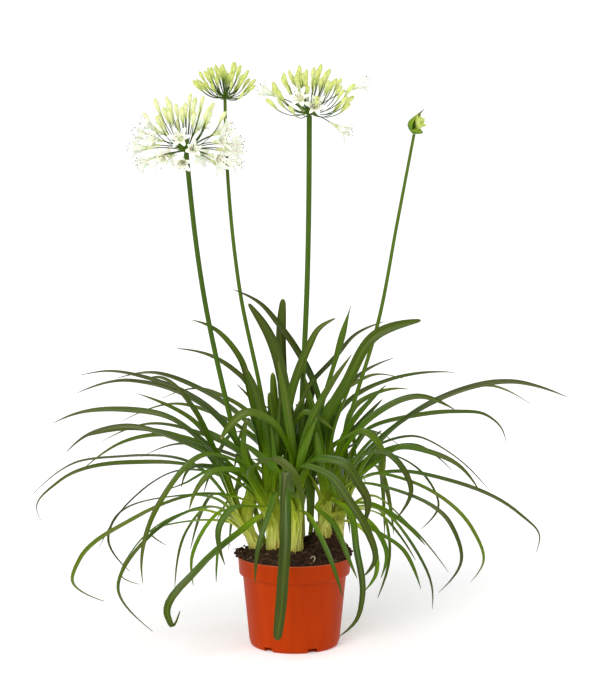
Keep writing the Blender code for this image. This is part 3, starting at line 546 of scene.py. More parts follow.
def inner_leaves():
    """Short upright leaves that close the heart of each clump, laid after all of the others."""
    draw = random.Random(INNER_SEED)
    leaves = []
    for shoot, count, low, high in INNER:
        place = SHOOTS[shoot - 1][1]
        for i in range(count):
            heading = math.tau * (i + draw.uniform(0.1, 0.9)) / count
            reach = draw.uniform(35, 130)
            crest = draw.uniform(low, high)
            x = place[0] / MM + math.cos(heading) * reach
            depth = place[1] / MM + math.sin(heading) * reach
            across = place[0] / MM + math.cos(heading) * reach * 0.35
            route = ((across, crest * 0.66 + 60), (x, crest))
            leaves.append((shoot, route, depth, draw.uniform(9, 13), draw.uniform(-70, 70)))
    return leaves


def lay_leaves():
    """Routes of all leaves, found as in the part's source beside the frame's own nodes."""
    clearing = Clearing()
    for name in ["pot", "soil"] + [piece[0] for piece in (*STEMS, YOUNG_STEM, *HEADS)]:
        clearing.add(name, node_tree(name))
    for name, place, neck, tall, lean in SHOOTS:
        clearing.add(name, neck_tree(place, neck, tall, lean))
    draw = random.Random(ROOT_SEED)
    laid = [place_leaf(leaf, clearing, draw) for leaf in (*LEAVES, *fill_leaves(), *inner_leaves())]
    return [leaf for leaf in laid if leaf is not None]


# How the scene's own pieces are drawn: painted values, material slots and places across a strap.
MARKS = ("run", "foot", "across", "under", "tone")
PETAL, BUD, STALK, ANTHER, SPATHE = range(5)
PEAT, PERLITE, FIBRE, ROOT = range(4)
ACROSS = (-1.0, -0.62, -0.28, 0.0, 0.28, 0.62, 1.0)
PETAL_ACROSS = (-1.0, -0.5, 0.0, 0.5, 1.0)
TONE_SEED = 31
SPATHE_SEED = 21
CRUMB_SEED = 51

# Counts of steps, rows and small things.
SHEATH_ROWS = 5
STEM_ROWS = 54
STEM_STEPS = 18
PEDICEL_ROWS = 7
PETAL_ROWS = 8
POT_STEPS = 144
SOIL_ROWS = 64
SOIL_STEPS = 220
CRUMBS = 620
RIM_CRUMBS = 34
PERLITE_GRAINS = 30
FIBRES = 110
SPATHE_BUDS = 28

YOUNG_RADIUS = 3.0
PEDICEL_RADIUS = 0.75 * MM
KNOB_RADIUS = 4.7 * MM
KNOB_LIFT = 3.2 * MM
# Place along a bud and its radius there, as shares of its length.
BUD_SHAPE = (
    (0.0, 0.036), (0.08, 0.055), (0.22, 0.082), (0.4, 0.112), (0.56, 0.142),
    (0.7, 0.152), (0.82, 0.134), (0.92, 0.086), (0.98, 0.038), (1.0, 0.012),
)
# Place along a valve of the spathe and its radius there, in millimetres.
VALVE_SHAPE = (
    (0.0, 2.3), (2.0, 4.2), (5.0, 7.0), (9.0, 9.3), (13.0, 10.2), (17.0, 9.8),
    (21.0, 8.2), (25.0, 5.9), (29.0, 3.7), (33.0, 1.9), (37.0, 0.6),
)
VALVE_LENGTH = 37.0
# Valves: first and last side as shares of half a turn, swing outwards, and share of the height.
VALVES = ((0.50, 1.34, 0.0, 1.0), (-0.68, 0.48, -0.6, 0.30))
# Straws that hang over the rim: foot (x, y), reach outwards and rise in millimetres.
STRAWS = (
    (-0.086, -0.004, 9, 7), (-0.087, 0.002, 7, 3), (-0.084, -0.012, 6, 9), (0.060, 0.030, 8, 6),
)


class Skin:
    """Points, faces and painted values of one piece while it grows."""

    def __init__(self, name, materials):
        self.name = name
        self.materials = materials
        self.points = []
        self.faces = []
        self.slots = []
        self.marks = {mark: [] for mark in MARKS}

    def add(self, points, faces, slot=0, **marks):
        first = len(self.points)
        self.points.extend(points)
        self.faces.extend(tuple(first + i for i in face) for face in faces)
        self.slots.extend([slot] * len(faces))
        for mark, values in self.marks.items():
            given = marks.get(mark, 0.0)
            values.extend(given if isinstance(given, list) else [given] * len(points))

    def rings(self, rings, slot=0, **marks):
        """Skin rings with equal counts into a closed body; a list has a value per ring or side."""
        sides = len(rings[0])
        rows = len(rings)
        faces = [tuple(range(sides))[::-1], tuple(range((rows - 1) * sides, rows * sides))]
        for row in range(rows - 1):
            for i in range(sides):
                a = row * sides + i
                b = row * sides + (i + 1) % sides
                faces.append((a, b, b + sides, a + sides))
        marks.setdefault("run", [row / (rows - 1) for row in range(rows)])
        for mark, given in marks.items():
            if isinstance(given, list) and len(given) == rows:
                marks[mark] = [value for value in given for _ in range(sides)]
            elif isinstance(given, list):
                marks[mark] = given * rows
        self.add([point for ring in rings for point in ring], faces, slot, **marks)

    def capped(self, first, rings, last, slot=0, **marks):
        """Skin rings with equal counts between two end points."""
        steps = len(rings[0])
        points = [first] + [point for ring in rings for point in ring] + [last]
        end = len(points) - 1
        faces = []
        for i in range(steps):
            j = (i + 1) % steps
            faces += [(0, 1 + j, 1 + i), (end, end - steps + i, end - steps + j)]
            for row in range(len(rings) - 1):
                a = 1 + row * steps
                faces.append((a + i, a + j, a + steps + j, a + steps + i))
        self.add(points, faces, slot, **marks)

    def finish(self, slot, *nodes, sharp=50):
        mesh = bpy.data.meshes.new(self.name)
        mesh.from_pydata(self.points, [], self.faces)
        for material in self.materials:
            mesh.materials.append(material)
        mesh.polygons.foreach_set("material_index", self.slots)
        for mark, values in self.marks.items():
            mesh.attributes.new(mark, "FLOAT", "POINT").data.foreach_set("value", values)
        bm = bmesh.new()
        bm.from_mesh(mesh)
        bmesh.ops.recalc_face_normals(bm, faces=bm.faces)
        bm.to_mesh(mesh)
        bm.free()
        mesh.shade_smooth()
        mesh.set_sharp_from_angle(angle=math.radians(sharp))
        item = bpy.data.objects.new(self.name, mesh)
        bpy.context.scene.collection.objects.link(item)
        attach(item, "root")
        if nodes:
            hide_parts(*nodes)
        return item


def ease(value, low, high):
    share = min(1.0, max(0.0, (value - low) / (high - low)))
    return share * share * (3.0 - 2.0 * share)


def runs_of(path):
    reach = [0.0]
    for a, b in zip(path, path[1:]):
        reach.append(reach[-1] + (b - a).length)
    return reach


def bent(start, control, end, count):
    """Points along a simple bow from start to end, pulled towards the control point."""
    made = []
    for i in range(count + 1):
        t = i / count
        made.append(start * (1 - t) ** 2 + control * (2 * t * (1 - t)) + end * t ** 2)
    return made


def turned(side, other, angle):
    """Direction at an angle from one axis towards another."""
    return side * math.cos(angle) + other * math.sin(angle)


def both_faces(top, below):
    """Ring of a strap: its upper face from edge to edge and its lower face back between them."""
    return list(top) + list(below[-2:0:-1])


def fluted(radius, height, ribs, depth):
    """A level ring with shallow ribs, three steps to a rib."""
    ring = []
    for i in range(ribs * 3):
        rib = 1 + depth * math.cos(math.tau * i / ribs)
        ring.append(on_circle(radius * rib, math.tau * i / (ribs * 3), height))
    return ring


def tube(skin, path, radii, sides, slot=0, **marks):
    """A round tube with closed ends whose rings turn as little as they can."""
    along = tangents(path)
    if not isinstance(radii, list):
        radii = [radii] * len(path)
    side = along[0].orthogonal().normalized()
    rings = []
    for point, run, radius in zip(path, along, radii):
        side = (side - run * side.dot(run)).normalized()
        outs = [turned(side, run.cross(side), math.tau * i / sides) for i in range(sides)]
        rings.append([point + out * radius for out in outs])
    skin.rings(rings, slot, **marks)


def pebble(skin, centre, size, squash, seed, slot):
    """An uneven lump for a crumb of peat or a grain of perlite."""
    bm = bmesh.new()
    bmesh.ops.create_icosphere(bm, subdivisions=1, radius=1.0)
    shift = Vector((seed * 3.1, seed * 1.7, seed * 5.3))
    points = []
    for vertex in bm.verts:
        x, y, z = vertex.co
        rough = 1.0 + 0.42 * noise.noise(vertex.co * 1.3 + shift)
        points.append(centre + Vector((x, y, z * squash)) * size * rough)
    faces = [tuple(vertex.index for vertex in face.verts) for face in bm.faces]
    bm.free()
    skin.add(points, faces, slot, tone=(seed * 0.37) % 1.0)


def shown_path(leaf, axis):
    """Route of a dressed leaf: from inside its neck to its tip, where the points stand closer."""
    owner, points, rise, heading, _, _ = leaf
    _, _, neck, tall, _ = SHOOTS[owner - 1]
    start = points[0]
    local = axis.inverted() @ start
    steep = min(1.0, max(0.0, local.z / tall * 2.2 - 0.5))
    out = axis.to_3x3().inverted() @ heading
    out.z = 0.0
    inside = Vector((local.x, local.y, 0.0)) * 0.45
    low = axis @ (out.normalized() * neck * (1.05 - 0.7 * steep) + inside - UP * 6 * MM)
    count = max(18, min(46, round(runs_of(points)[-1] / (10 * MM))))
    path = smooth_path([low, start], axis.to_3x3() @ UP, SHEATH_ROWS)[:-1]
    path += smooth_path(points, rise, count)
    last, end = path[-2:]
    return path[:-1] + [last.lerp(end, share) for share in (0.35, 0.6, 0.78, 0.9, 0.97, 1.0)]


def dress_leaf(skin, leaf, tone):
    """A channelled strap: clasping and pale at the foot, keeled below, blunt at its tip."""
    owner, _, _, heading, width, roll = leaf
    _, place, neck, _, lean = SHOOTS[owner - 1]
    foot = foot_on_soil(place)
    path = shown_path(leaf, lean_matrix(foot, lean))
    end = path[-1]
    reach = runs_of(path)
    length = reach[-1]
    # A leaf whose tip stands near its foot is shown face on, and one that stands high is turned.
    near = 1.0 - ease(Vector((end - foot).xy).length, 30 * MM, 60 * MM)
    high = ease(end.z, 0.10, 0.30)
    side = UP.cross(heading.lerp(Vector((0.0, -1.0, 0.0)), near).normalized()).normalized()
    tilt = (roll + SHOWN_ROLL * heading.x * high) * (1.0 - near)
    # Half widths of the blade and of its clasping foot, and how round its tip is (0 to 1).
    full = (width * MM * 0.53 + 0.4 * MM) * (1.0 + (SHOWN_WIDTH - 1.0) * high)
    wide = width * MM * 0.74 + 1.6 * MM
    rounded = max(ease(width, 15.2, 16.0), 0.7 * near, 0.32 * ease(width, 10.2, 12.0))
    rings = []
    for s, point, along in zip(reach, path, tangents(path)):
        t = max(0.0, (s - reach[SHEATH_ROWS]) / (length - reach[SHEATH_ROWS]))
        taper = max(0.0, (t - 0.5) / 0.5)
        half = wide + (full - wide) * ease(s, 25 * MM, 120 * MM)
        round_off = min(1.0, (length - s) / (2.5 * MM + 6.0 * MM * rounded))
        half *= 1.0 - (0.96 - 0.62 * rounded) * taper ** (2.9 + 6.5 * rounded)
        half *= math.sqrt(1.0 - (1.0 - round_off) ** 2)
        half += 0.2 * MM
        sway = 13.0 * noise.noise(Vector((s * 7.0, tone * 40.0, 0.0))) * min(1.0, t * 3.0)
        across = (side - along * side.dot(along)).normalized()
        across.rotate(Matrix.Rotation(math.radians(tilt * min(1.0, t * 1.8) + sway), 3, along))
        above = along.cross(across).normalized()
        # The foot curls about the neck; the blade is an open channel.
        curl = neck * 0.95 + 2 * MM
        curl += (half / 0.62 - curl) * ease(s, 35 * MM, 130 * MM)
        thick = (1.5 - 0.6 * ease(s, 20 * MM, 150 * MM)) * MM * (0.45 + 0.55 * (1.0 - taper ** 3))
        sag = curl * (1.0 - math.cos(half / curl)) * 0.6
        top = []
        for u in ACROSS:
            angle = u * half / curl
            ripple = 0.5 * MM * abs(u) * noise.noise(Vector((s * 30.0, tone * 60.0, u)))
            lift = curl * (1.0 - math.cos(angle)) - sag + ripple * min(1.0, t * 4.0)
            top.append(point + across * (curl * math.sin(angle)) + above * lift)
        below = [spot - above * thick * (1.0 - 0.62 * abs(u)) for spot, u in zip(top, ACROSS)]
        rings.append(both_faces(top, below))
    skin.rings(
        rings, run=[s / length for s in reach], foot=reach, tone=tone,
        across=both_faces(ACROSS, ACROSS), under=[0.0] * 7 + [1.0] * 5,
    )


def dress_sheath(skin, axis, neck, heading, height, tone):
    """A short outer leaf base that clasps the foot of a shoot."""
    curl = neck * 1.1
    shares = [k / 8 for k in range(9)]
    rings = []
    for t in shares:
        half = neck * (0.95 - 0.35 * t) * (1.0 - t ** 3) + 0.4 * MM
        level = height * t - 6 * MM * (1 - t)
        near = curl * (0.93 - 0.10 * t) + 2.2 * MM * t * t
        thick = (1.3 - 0.7 * t) * MM
        inner = []
        outer = []
        for u in ACROSS:
            turn = heading + u * half / curl
            inner.append(axis @ on_circle(near, turn, level))
            outer.append(axis @ on_circle(near + thick * (1.0 - 0.5 * abs(u)), turn, level))
        rings.append(both_faces(inner, outer))
    skin.rings(
        rings, run=[0.1 * t for t in shares], foot=[height * t * 1.5 for t in shares],
        across=both_faces(ACROSS, ACROSS), tone=tone,
    )


def dress_neck(skin, number, draw):
    """The heart of a shoot below its blades: a fluted pale stub with short outer sheaths."""
    _, place, neck, tall, lean = SHOOTS[number]
    axis = lean_matrix(foot_on_soil(place), lean)
    shares = [k / 8 for k in range(9)]
    rings = []
    for t in shares:
        level = -8 * MM + (tall * 0.62 + 8 * MM) * t
        ring = fluted(neck * (0.70 - 0.55 * t ** 1.4), level, 8, 0.07)
        rings.append([axis @ spot for spot in ring])
    skin.rings(rings, run=0.3, foot=[tall * 0.6 * t for t in shares], tone=draw.random())
    turn = draw.uniform(0, math.tau)
    for k in range(3):
        heading = turn + k * math.tau / 3 + draw.uniform(-0.5, 0.5)
        height = tall * draw.uniform(0.16, 0.36)
        dress_sheath(skin, axis, neck, heading, height, draw.random())


def dress_shoots(leaves, leaf_material):
    """Every shoot with its leaves; wide leaves are darker."""
    draw = random.Random(TONE_SEED)
    for number, shoot in enumerate(SHOOTS):
        skin = Skin(shoot[0] + "_leaves", [leaf_material])
        dress_neck(skin, number, draw)
        for leaf in leaves:
            tone = (0.12 + 0.76 * draw.random()) * (1.0 - 0.42 * ease(leaf[4], 11.0, 13.0))
            if leaf[0] == number + 1:
                dress_leaf(skin, leaf, tone)
        skin.finish("leaf", shoot[0], sharp=70)


def dress_stem(name, path, radii, material):
    skin = Skin(name + "_stem", [material])
    reach = runs_of(path)
    shaped = [
        radius * MM * (1.0 + 0.02 * noise.noise(Vector((s * 20.0, radius, 0.0))))
        for s, radius in zip(reach, radii)
    ]
    tube(skin, path, shaped, STEM_STEPS, foot=reach, tone=STEM_TONES[name])
    skin.finish("flower_stem", name)


def dress_stems(stem_material):
    """The stems, the young one with its closed bud; gives the top of each stem for its head."""
    tops = {}
    shares = [i / STEM_ROWS for i in range(STEM_ROWS + 1)]
    for name, place, route, depth, low, high in STEMS:
        path = stem_path(place, route, depth, STEM_ROWS)
        dress_stem(name, path, [low] + [low + (high - low) * t for t in shares], stem_material)
        tops[name] = (path[-1], (path[-1] - path[-2]).normalized())
    name, place, route, depth = YOUNG_STEM
    thick = YOUNG_RADIUS
    radii = [thick]
    for t in shares:
        swell = thick + 1.8 * ease(t, 0.74, 0.86)
        radii.append(swell * (1.0 - ease(t, 0.87, 1.0)) + 0.4)
    dress_stem(name, stem_path(place, route, depth, STEM_ROWS), radii, stem_material)
    return tops


def dress_bud(skin, root, control, end, lead, length, tone):
    """A bud on its bowed pedicel: six faint ribs, widest past its middle, with a blunt tip."""
    radii = [(1.0 - 0.3 * ease(i, 0, 3) + 0.25 * ease(i, 5, 7)) * 0.85 * MM for i in range(8)]
    tube(skin, bent(root, control, end, PEDICEL_ROWS), radii, 6, STALK, tone=tone)
    side = lead.orthogonal().normalized()
    other = lead.cross(side)
    bow = other * length * 0.05
    outs = [turned(side, other, math.tau * i / 12) for i in range(12)]
    rings = []
    for along, radius in BUD_SHAPE:
        centre = end + lead * length * along + bow * math.sin(along * math.pi)
        rings.append([
            centre + out * length * radius * (0.90 if i % 2 else 0.78)
            for i, out in enumerate(outs)
        ])
    skin.rings(rings, BUD, run=[along for along, _ in BUD_SHAPE], across=[-1.0, 1.0] * 6, tone=tone)


def dress_petal(skin, base, lead, out, length, reach, width, curl, tone):
    """A strap-like tepal that opens outwards, with a trough along it and a wavy edge."""
    side = lead.cross(out).normalized()
    shares = [i / PETAL_ROWS for i in range(PETAL_ROWS + 1)]
    centres = []
    for q in shares:
        ahead = lead * length * (q - 0.16 * curl * q ** 4)
        centres.append(base + ahead + out * reach * (0.13 + 0.87 * q ** 1.7))
    rings = []
    for q, centre, along in zip(shares, centres, tangents(centres)):
        half = width * (q + 0.12) ** 0.6 * (1.05 - q) ** 0.55
        inner = along.cross(side).normalized()
        if inner.dot(out) > 0:
            inner = -inner
        wave = 0.10 * math.sin(5 * q + tone * 9)
        top = []
        below = []
        for u in PETAL_ACROSS:
            top.append(centre + side * half * u + inner * half * (0.28 * u * u + wave * u))
            below.append(top[-1] - inner * 0.4 * MM * (1.0 - 0.4 * abs(u)))
        rings.append(both_faces(top, below))
    skin.rings(rings, PETAL, across=both_faces(PETAL_ACROSS, PETAL_ACROSS), tone=tone)


def dress_flower(skin, root, control, end, lead, spin, draw, opening):
    """An open flower: bowed pedicel, tube, six strap-like tepals, six stamens and a style."""
    tone = draw.random()
    tube(skin, bent(root, control, end, PEDICEL_ROWS), PEDICEL_RADIUS, 6, STALK, tone=tone)
    side = lead.orthogonal().normalized()
    side.rotate(Matrix.Rotation(spin, 3, lead))
    other = lead.cross(side)
    long = FLOWER_LENGTH * draw.uniform(1.18, 1.48)
    throat = [end + lead * long * share for share in (0.0, 0.08, 0.18, 0.30, 0.38)]
    radii = [radius * MM for radius in (0.9, 1.5, 1.9, 2.4, 2.7)]
    tube(skin, throat, radii, 12, PETAL, run=[0.0, 0.04, 0.08, 0.12, 0.16], tone=tone)
    for i in range(6):
        out = turned(side, other, math.tau * i / 6 + draw.uniform(-0.08, 0.08))
        spread = FLOWER_REACH * opening * draw.uniform(0.95, 1.25)
        width = (7.2 if i % 2 else 6.0) * MM
        length = long * 0.78 * draw.uniform(0.94, 1.04)
        base = end + lead * long * 0.26
        dress_petal(skin, base, lead, out, length, spread, width, draw.uniform(0.7, 1.5), tone)
    # Six stamens about a style, the last of the seven.
    for i in range(7):
        out = turned(side, other, math.tau * (i + 0.5) / 6) * (0.0 if i == 6 else 1.0)
        tip = end + lead * long * draw.uniform(0.92, 1.10) + out * 5.5 * MM * draw.uniform(0.7, 1.2)
        tip += UP * 2.5 * MM
        bow = end + lead * long * 0.66 + out * 3.2 * MM - UP * 2.0 * MM
        thread = bent(end + lead * long * 0.3 + out * 1.2 * MM, bow, tip, 6)
        tube(skin, thread, 0.32 * MM, 5, PETAL, run=0.6, tone=tone)
        if i < 6:
            turn = out * 0.8 + UP * draw.uniform(-0.6, 0.6) + side * draw.uniform(-0.6, 0.6)
            anther = [tip + turn.normalized() * share * MM for share in (-1.3, -0.8, 0.0, 0.8, 1.3)]
            radii = [radius * MM for radius in (0.15, 0.5, 0.6, 0.5, 0.15)]
            tube(skin, anther, radii, 6, ANTHER, tone=tone)


def dress_knob(skin, centre):
    """The ribbed swelling on a stem that the pedicels of its head rise from."""
    rings = []
    for k in range(9):
        angle = math.pi * (0.03 + 0.94 * k / 8)
        ring = fluted(math.sin(angle) * KNOB_RADIUS, -math.cos(angle) * KNOB_RADIUS * 0.78, 6, 0.05)
        rings.append([centre + spot for spot in ring])
    skin.rings(rings, STALK, tone=0.3)


def dress_head(head, top, materials):
    """One umbel, its buds and flowers in the same directions as the solid's."""
    name, _, seed, count, lowest, pedicel, bud_length, open_below = head
    draw = random.Random(seed)
    fine = random.Random(seed + 100)
    skin = Skin(name + "_flowers", materials)
    centre = top + UP * (GAP + KNOB_LIFT)
    dress_knob(skin, centre)
    places = []
    for i in range(count):
        aim = head_direction(i, count, lowest, draw)
        length = pedicel * draw.uniform(0.9, 1.08)
        places.append((aim, length, aim.z < math.sin(math.radians(open_below))))
    if name == "umbel_centre":
        for mouth in EARLY_FLOWERS:
            aim = Vector(mouth)
            places.append((aim.normalized(), aim.length - FLOWER_LENGTH / MM * 0.7, True))
    for i in range(EXTRA_BUDS[name]):
        aim = head_direction(i + 0.4, EXTRA_BUDS[name], max(38, open_below + 6), fine)
        places.append((aim, pedicel * fine.uniform(0.7, 1.0), False))
    for aim, length, is_open in places:
        aim = Vector((aim.x, aim.y, aim.z if aim.z > 0.0 else aim.z * 0.5))
        aim += Vector([fine.gauss(0.0, 0.07) for _ in range(3)])
        aim.normalize()
        length *= fine.uniform(0.95, 1.1) * (1.0 if is_open else BUD_REACH[name])
        root = centre + aim * 2.4 * MM
        end = centre + aim * length * MM
        span = (end - root).length
        flat = math.hypot(aim.x, aim.y)
        if is_open:
            spin = draw.uniform(0, 1)
            control = root + (aim + UP * 0.18).normalized() * span * 0.55
            lead = (aim - UP * 0.12).normalized()
            dress_flower(skin, root, control, end, lead, spin, fine, fine.uniform(0.72, 1.12))
        else:
            length = bud_length * MM * draw.uniform(0.88, 1.1) * BUD_STRETCH[name]
            control = root + (aim - UP * 0.5 * flat).normalized() * span * 0.55
            lead = (aim + UP * (0.3 + 0.5 * flat)).normalized()
            tone = HEAD_PALENESS[name] + fine.uniform(-0.12, 0.12)
            dress_bud(skin, root, control, end, lead, length, tone)
    skin.finish("flower_white" if name == "umbel_left" else "flower_bud", name, sharp=60)


def dress_right_bud(top, along, materials):
    """The head that is just splitting: a beaked spathe of two valves with buds between them."""
    skin = Skin("bud_right_spathe", materials)
    base = top + along * GAP
    for first, last, swing, share_up in VALVES:
        rings = []
        for step, radius in VALVE_SHAPE:
            share = step / VALVE_LENGTH
            centre = base + along * step * MM * share_up + Vector((share ** 3 * 8 * MM, 0, 0))
            outer = []
            inner = []
            for k in range(13):
                out = on_circle(1.0, math.pi * (first + (last - first) * k / 12), 0.0)
                out = (out - along * out.dot(along)).normalized()
                wide = radius * (1.0 + 0.025 * math.cos(k * math.pi)) + swing * share
                outer.append(centre + out * wide * 1.25 * MM)
                inner.append(centre + out * wide * MM * (1.12 if radius > 2 else 0.6))
            rings.append(outer + inner[::-1])
        skin.rings(rings, SPATHE, run=[step / VALVE_LENGTH for step, _ in VALVE_SHAPE], tone=0.5)
    draw = random.Random(SPATHE_SEED)
    root = base + along * 8 * MM
    for i in range(SPATHE_BUDS):
        turn = math.tau * (i * 0.382)
        out = Vector((
            math.cos(turn) * 0.34 + 0.50, math.sin(turn) * 0.5 - 0.16, draw.uniform(0.1, 1.25),
        )).normalized()
        end = root + out * draw.uniform(1, 4) * MM
        length = draw.uniform(11.5, 14.5) * MM * (1.0 + 0.35 * out.z)
        dress_bud(skin, root, (root + end) / 2, end, out, length, 0.1 + draw.uniform(-0.1, 0.1))
    skin.finish("flower_bud", "bud_right", sharp=60)


def pot_profile():
    """Radius and height along the pot's wall, from the middle of its underside to that inside."""
    step = POT_HEIGHT - RIM_HEIGHT
    profile = [(0.0, 1.0), (30, 1.0), (34, 0.1)]
    profile = [(radius * MM, z * MM) for radius, z in profile] + [(BASE_RADIUS - 5 * MM, 0.0)]
    profile += [
        (BASE_RADIUS - inset * MM, z * MM)
        for inset, z in ((3.2, 0.5), (1.8, 1.6), (0.8, 3.2), (0.25, 5.6))
    ]
    for k in range(9):
        z = 9 * MM + (step - 14 * MM) * k / 8
        profile.append((BASE_RADIUS + (BODY_RADIUS - BASE_RADIUS) * z / step, z))
    profile += [
        (BODY_RADIUS - 0.1 * MM, step - 3.2 * MM),
        (BODY_RADIUS + 1.4 * MM, step - 1.6 * MM),
        (RIM_FOOT_RADIUS - 1.6 * MM, step - 0.5 * MM),
        (RIM_FOOT_RADIUS - 0.5 * MM, step + 0.1 * MM),
        (RIM_FOOT_RADIUS, step + 1.2 * MM),
    ]
    profile += [
        (RIM_FOOT_RADIUS + (RIM_RADIUS - RIM_FOOT_RADIUS) * z / RIM_HEIGHT, step + z)
        for z in (6 * MM, 14 * MM, RIM_HEIGHT - 3.6 * MM)
    ]
    profile += [
        (RIM_RADIUS - inset * MM, POT_HEIGHT - drop * MM)
        for inset, drop in (
            (0.05, 2.6), (0.0, 1.4), (0.3, 0.5), (0.9, 0.0), (1.6, 0.0), (2.2, 0.5), (2.4, 1.6),
        )
    ]
    profile += [(inner_radius(z), z) for z in (step + 3 * MM, step - WALL, 12 * MM)]
    return profile + [(BASE_RADIUS - 6 * MM, 2.4 * MM), (0.0, 2.2 * MM)]


def notch_mesh(number):
    """A block with rounded edges that cuts one drainage notch at the foot."""
    depth = NOTCH_DEPTH + 5 * MM
    heading = NOTCH_FIRST + number * math.tau / NOTCH_COUNT - math.pi / 2
    bm = bmesh.new()
    bmesh.ops.create_cube(bm, size=1.0)
    bmesh.ops.scale(bm, vec=(depth, NOTCH_WIDTH, NOTCH_HEIGHT * 2 + 5 * MM), verts=bm.verts)
    bmesh.ops.bevel(bm, geom=bm.edges[:], offset=1.4 * MM, segments=3, affect="EDGES", profile=0.5)
    out = Matrix.Translation((BASE_RADIUS - depth / 2 + 4 * MM, 0, 0))
    bmesh.ops.transform(bm, matrix=Matrix.Rotation(heading, 4, "Z") @ out, verts=bm.verts)
    mesh = bpy.data.meshes.new(f"notch_{number + 1}")
    bm.to_mesh(mesh)
    bm.free()
    return mesh


def dress_pot(plastic):
    """The pot with a rolled lip, a stepped band, a rounded foot and six notches cut through."""
    (_, low), *walls, (_, high) = pot_profile()
    rings = [
        [on_circle(radius, math.tau * i / POT_STEPS, z) for i in range(POT_STEPS)]
        for radius, z in walls
    ]
    skin = Skin("pot_shell", [plastic])
    skin.capped(UP * low, rings, UP * high)
    pot = skin.finish("pot_plastic", "pot", sharp=40)
    notches = bpy.data.collections.new("notches")
    bpy.context.scene.collection.children.link(notches)
    for i in range(NOTCH_COUNT):
        mesh = notch_mesh(i)
        notches.objects.link(bpy.data.objects.new(mesh.name, mesh))
    cut = pot.modifiers.new("Notches", "BOOLEAN")
    cut.operation = "DIFFERENCE"
    cut.operand_type = "COLLECTION"
    cut.collection = notches
    cut.solver = "MANIFOLD"
    bpy.context.view_layer.update()
    mesh = bpy.data.meshes.new_from_object(pot.evaluated_get(bpy.context.evaluated_depsgraph_get()))
    pot.modifiers.clear()
    pot.data = mesh
    mesh.set_sharp_from_angle(angle=math.radians(40))
    for item in list(notches.objects):
        bpy.data.objects.remove(item, do_unlink=True)
    bpy.data.collections.remove(notches)


def rough_soil(x, y):
    """Height of the dressed soil: the solid's face with clods and crumbs on it."""
    spot = Vector((x, y, 0.0))
    away = (Vector((x, y)) - MOUND_CENTRE).length / MOUND_SPREAD
    return (
        soil_height(x, y)
        + 7.0 * MM * math.exp(-away ** 2)
        + 2.0 * MM * noise.noise(spot * 95.0)
        + 1.3 * MM * noise.noise(spot * 260.0)
        + 0.8 * MM * noise.noise(spot * 620.0)
    )


def on_soil(x, y, lift=0.0):
    return Vector((x, y, rough_soil(x, y) + lift))


def soil_edge(angle):
    """Where the soil ends: over the lip at the left and right, inside it elsewhere, and uneven."""
    left = math.exp(-(math.remainder(angle - math.pi, math.tau) / 0.55) ** 2)
    right = math.exp(-(math.remainder(angle, math.tau) / 0.40) ** 2)
    broad = 0.022 * noise.noise(on_circle(1.0, angle, 3.0) * 3.4)
    fine = 0.014 * noise.noise(on_circle(1.0, angle, 8.0) * 14.0)
    return (0.955 + 0.055 * max(left, right)) * SOIL_OVERHANG * (0.985 + broad + fine)


def spot_in_disc(radius, draw):
    """An even random place (x, y) about the pot's axis."""
    radius *= math.sqrt(draw.random())
    angle = draw.uniform(0, math.tau)
    return radius * math.cos(angle), radius * math.sin(angle)


def dress_soil_face(skin):
    """The body of the peat: an uneven face with an edge that drops, and a flat underside."""
    angles = [math.tau * i / SOIL_STEPS for i in range(SOIL_STEPS)]
    edges = [soil_edge(angle) for angle in angles]
    rings = []
    for row in range(1, SOIL_ROWS + 1):
        share = row / SOIL_ROWS
        drop = ease(share, 0.93, 1.0) ** 2 * 2.2 * MM
        rings.append([
            on_soil(math.cos(angle) * edge * share, math.sin(angle) * edge * share, -drop)
            for angle, edge in zip(angles, edges)
        ])
    for inset, lift in ((1.5, 0.3), (4.6, -0.5), (5.0, -14)):
        radius = SOIL_OVERHANG - inset * MM
        rings.append([on_circle(radius, angle, POT_HEIGHT + lift * MM) for angle in angles])
    skin.capped(on_soil(0.0, 0.0), rings, UP * (POT_HEIGHT - 14 * MM), PEAT, tone=0.5)


def dress_grains(skin, draw):
    """Loose crumbs on the peat and over the rim, and grains of perlite."""
    for i in range(CRUMBS):
        x, y = spot_in_disc(86 * MM, draw)
        size = draw.choice((0.9, 1.2, 1.6, 2.2, 3.2)) * MM * draw.uniform(0.8, 1.3)
        pebble(skin, on_soil(x, y, size * 0.25), size, draw.uniform(0.55, 0.95), i, PEAT)
    for i in range(RIM_CRUMBS):
        angle = math.radians(draw.choice((180, 180, 5, -60)) + draw.gauss(0, 14))
        radius = draw.uniform(82, 88.5) * MM
        size = draw.uniform(1.6, 3.6) * MM
        lift = draw.uniform(0.4, 6.0) * MM * (0.5 if radius > 86 * MM else 1.0)
        spot = on_circle(radius, angle, POT_HEIGHT + size * 0.6 + lift)
        pebble(skin, spot, size, 0.8, i + 900, PEAT)
    for i in range(PERLITE_GRAINS):
        x, y = spot_in_disc(84 * MM, draw)
        size = draw.uniform(0.6, 1.3) * MM
        pebble(skin, on_soil(x, y, size * 0.5), size, 0.85, i + 2000, PERLITE)


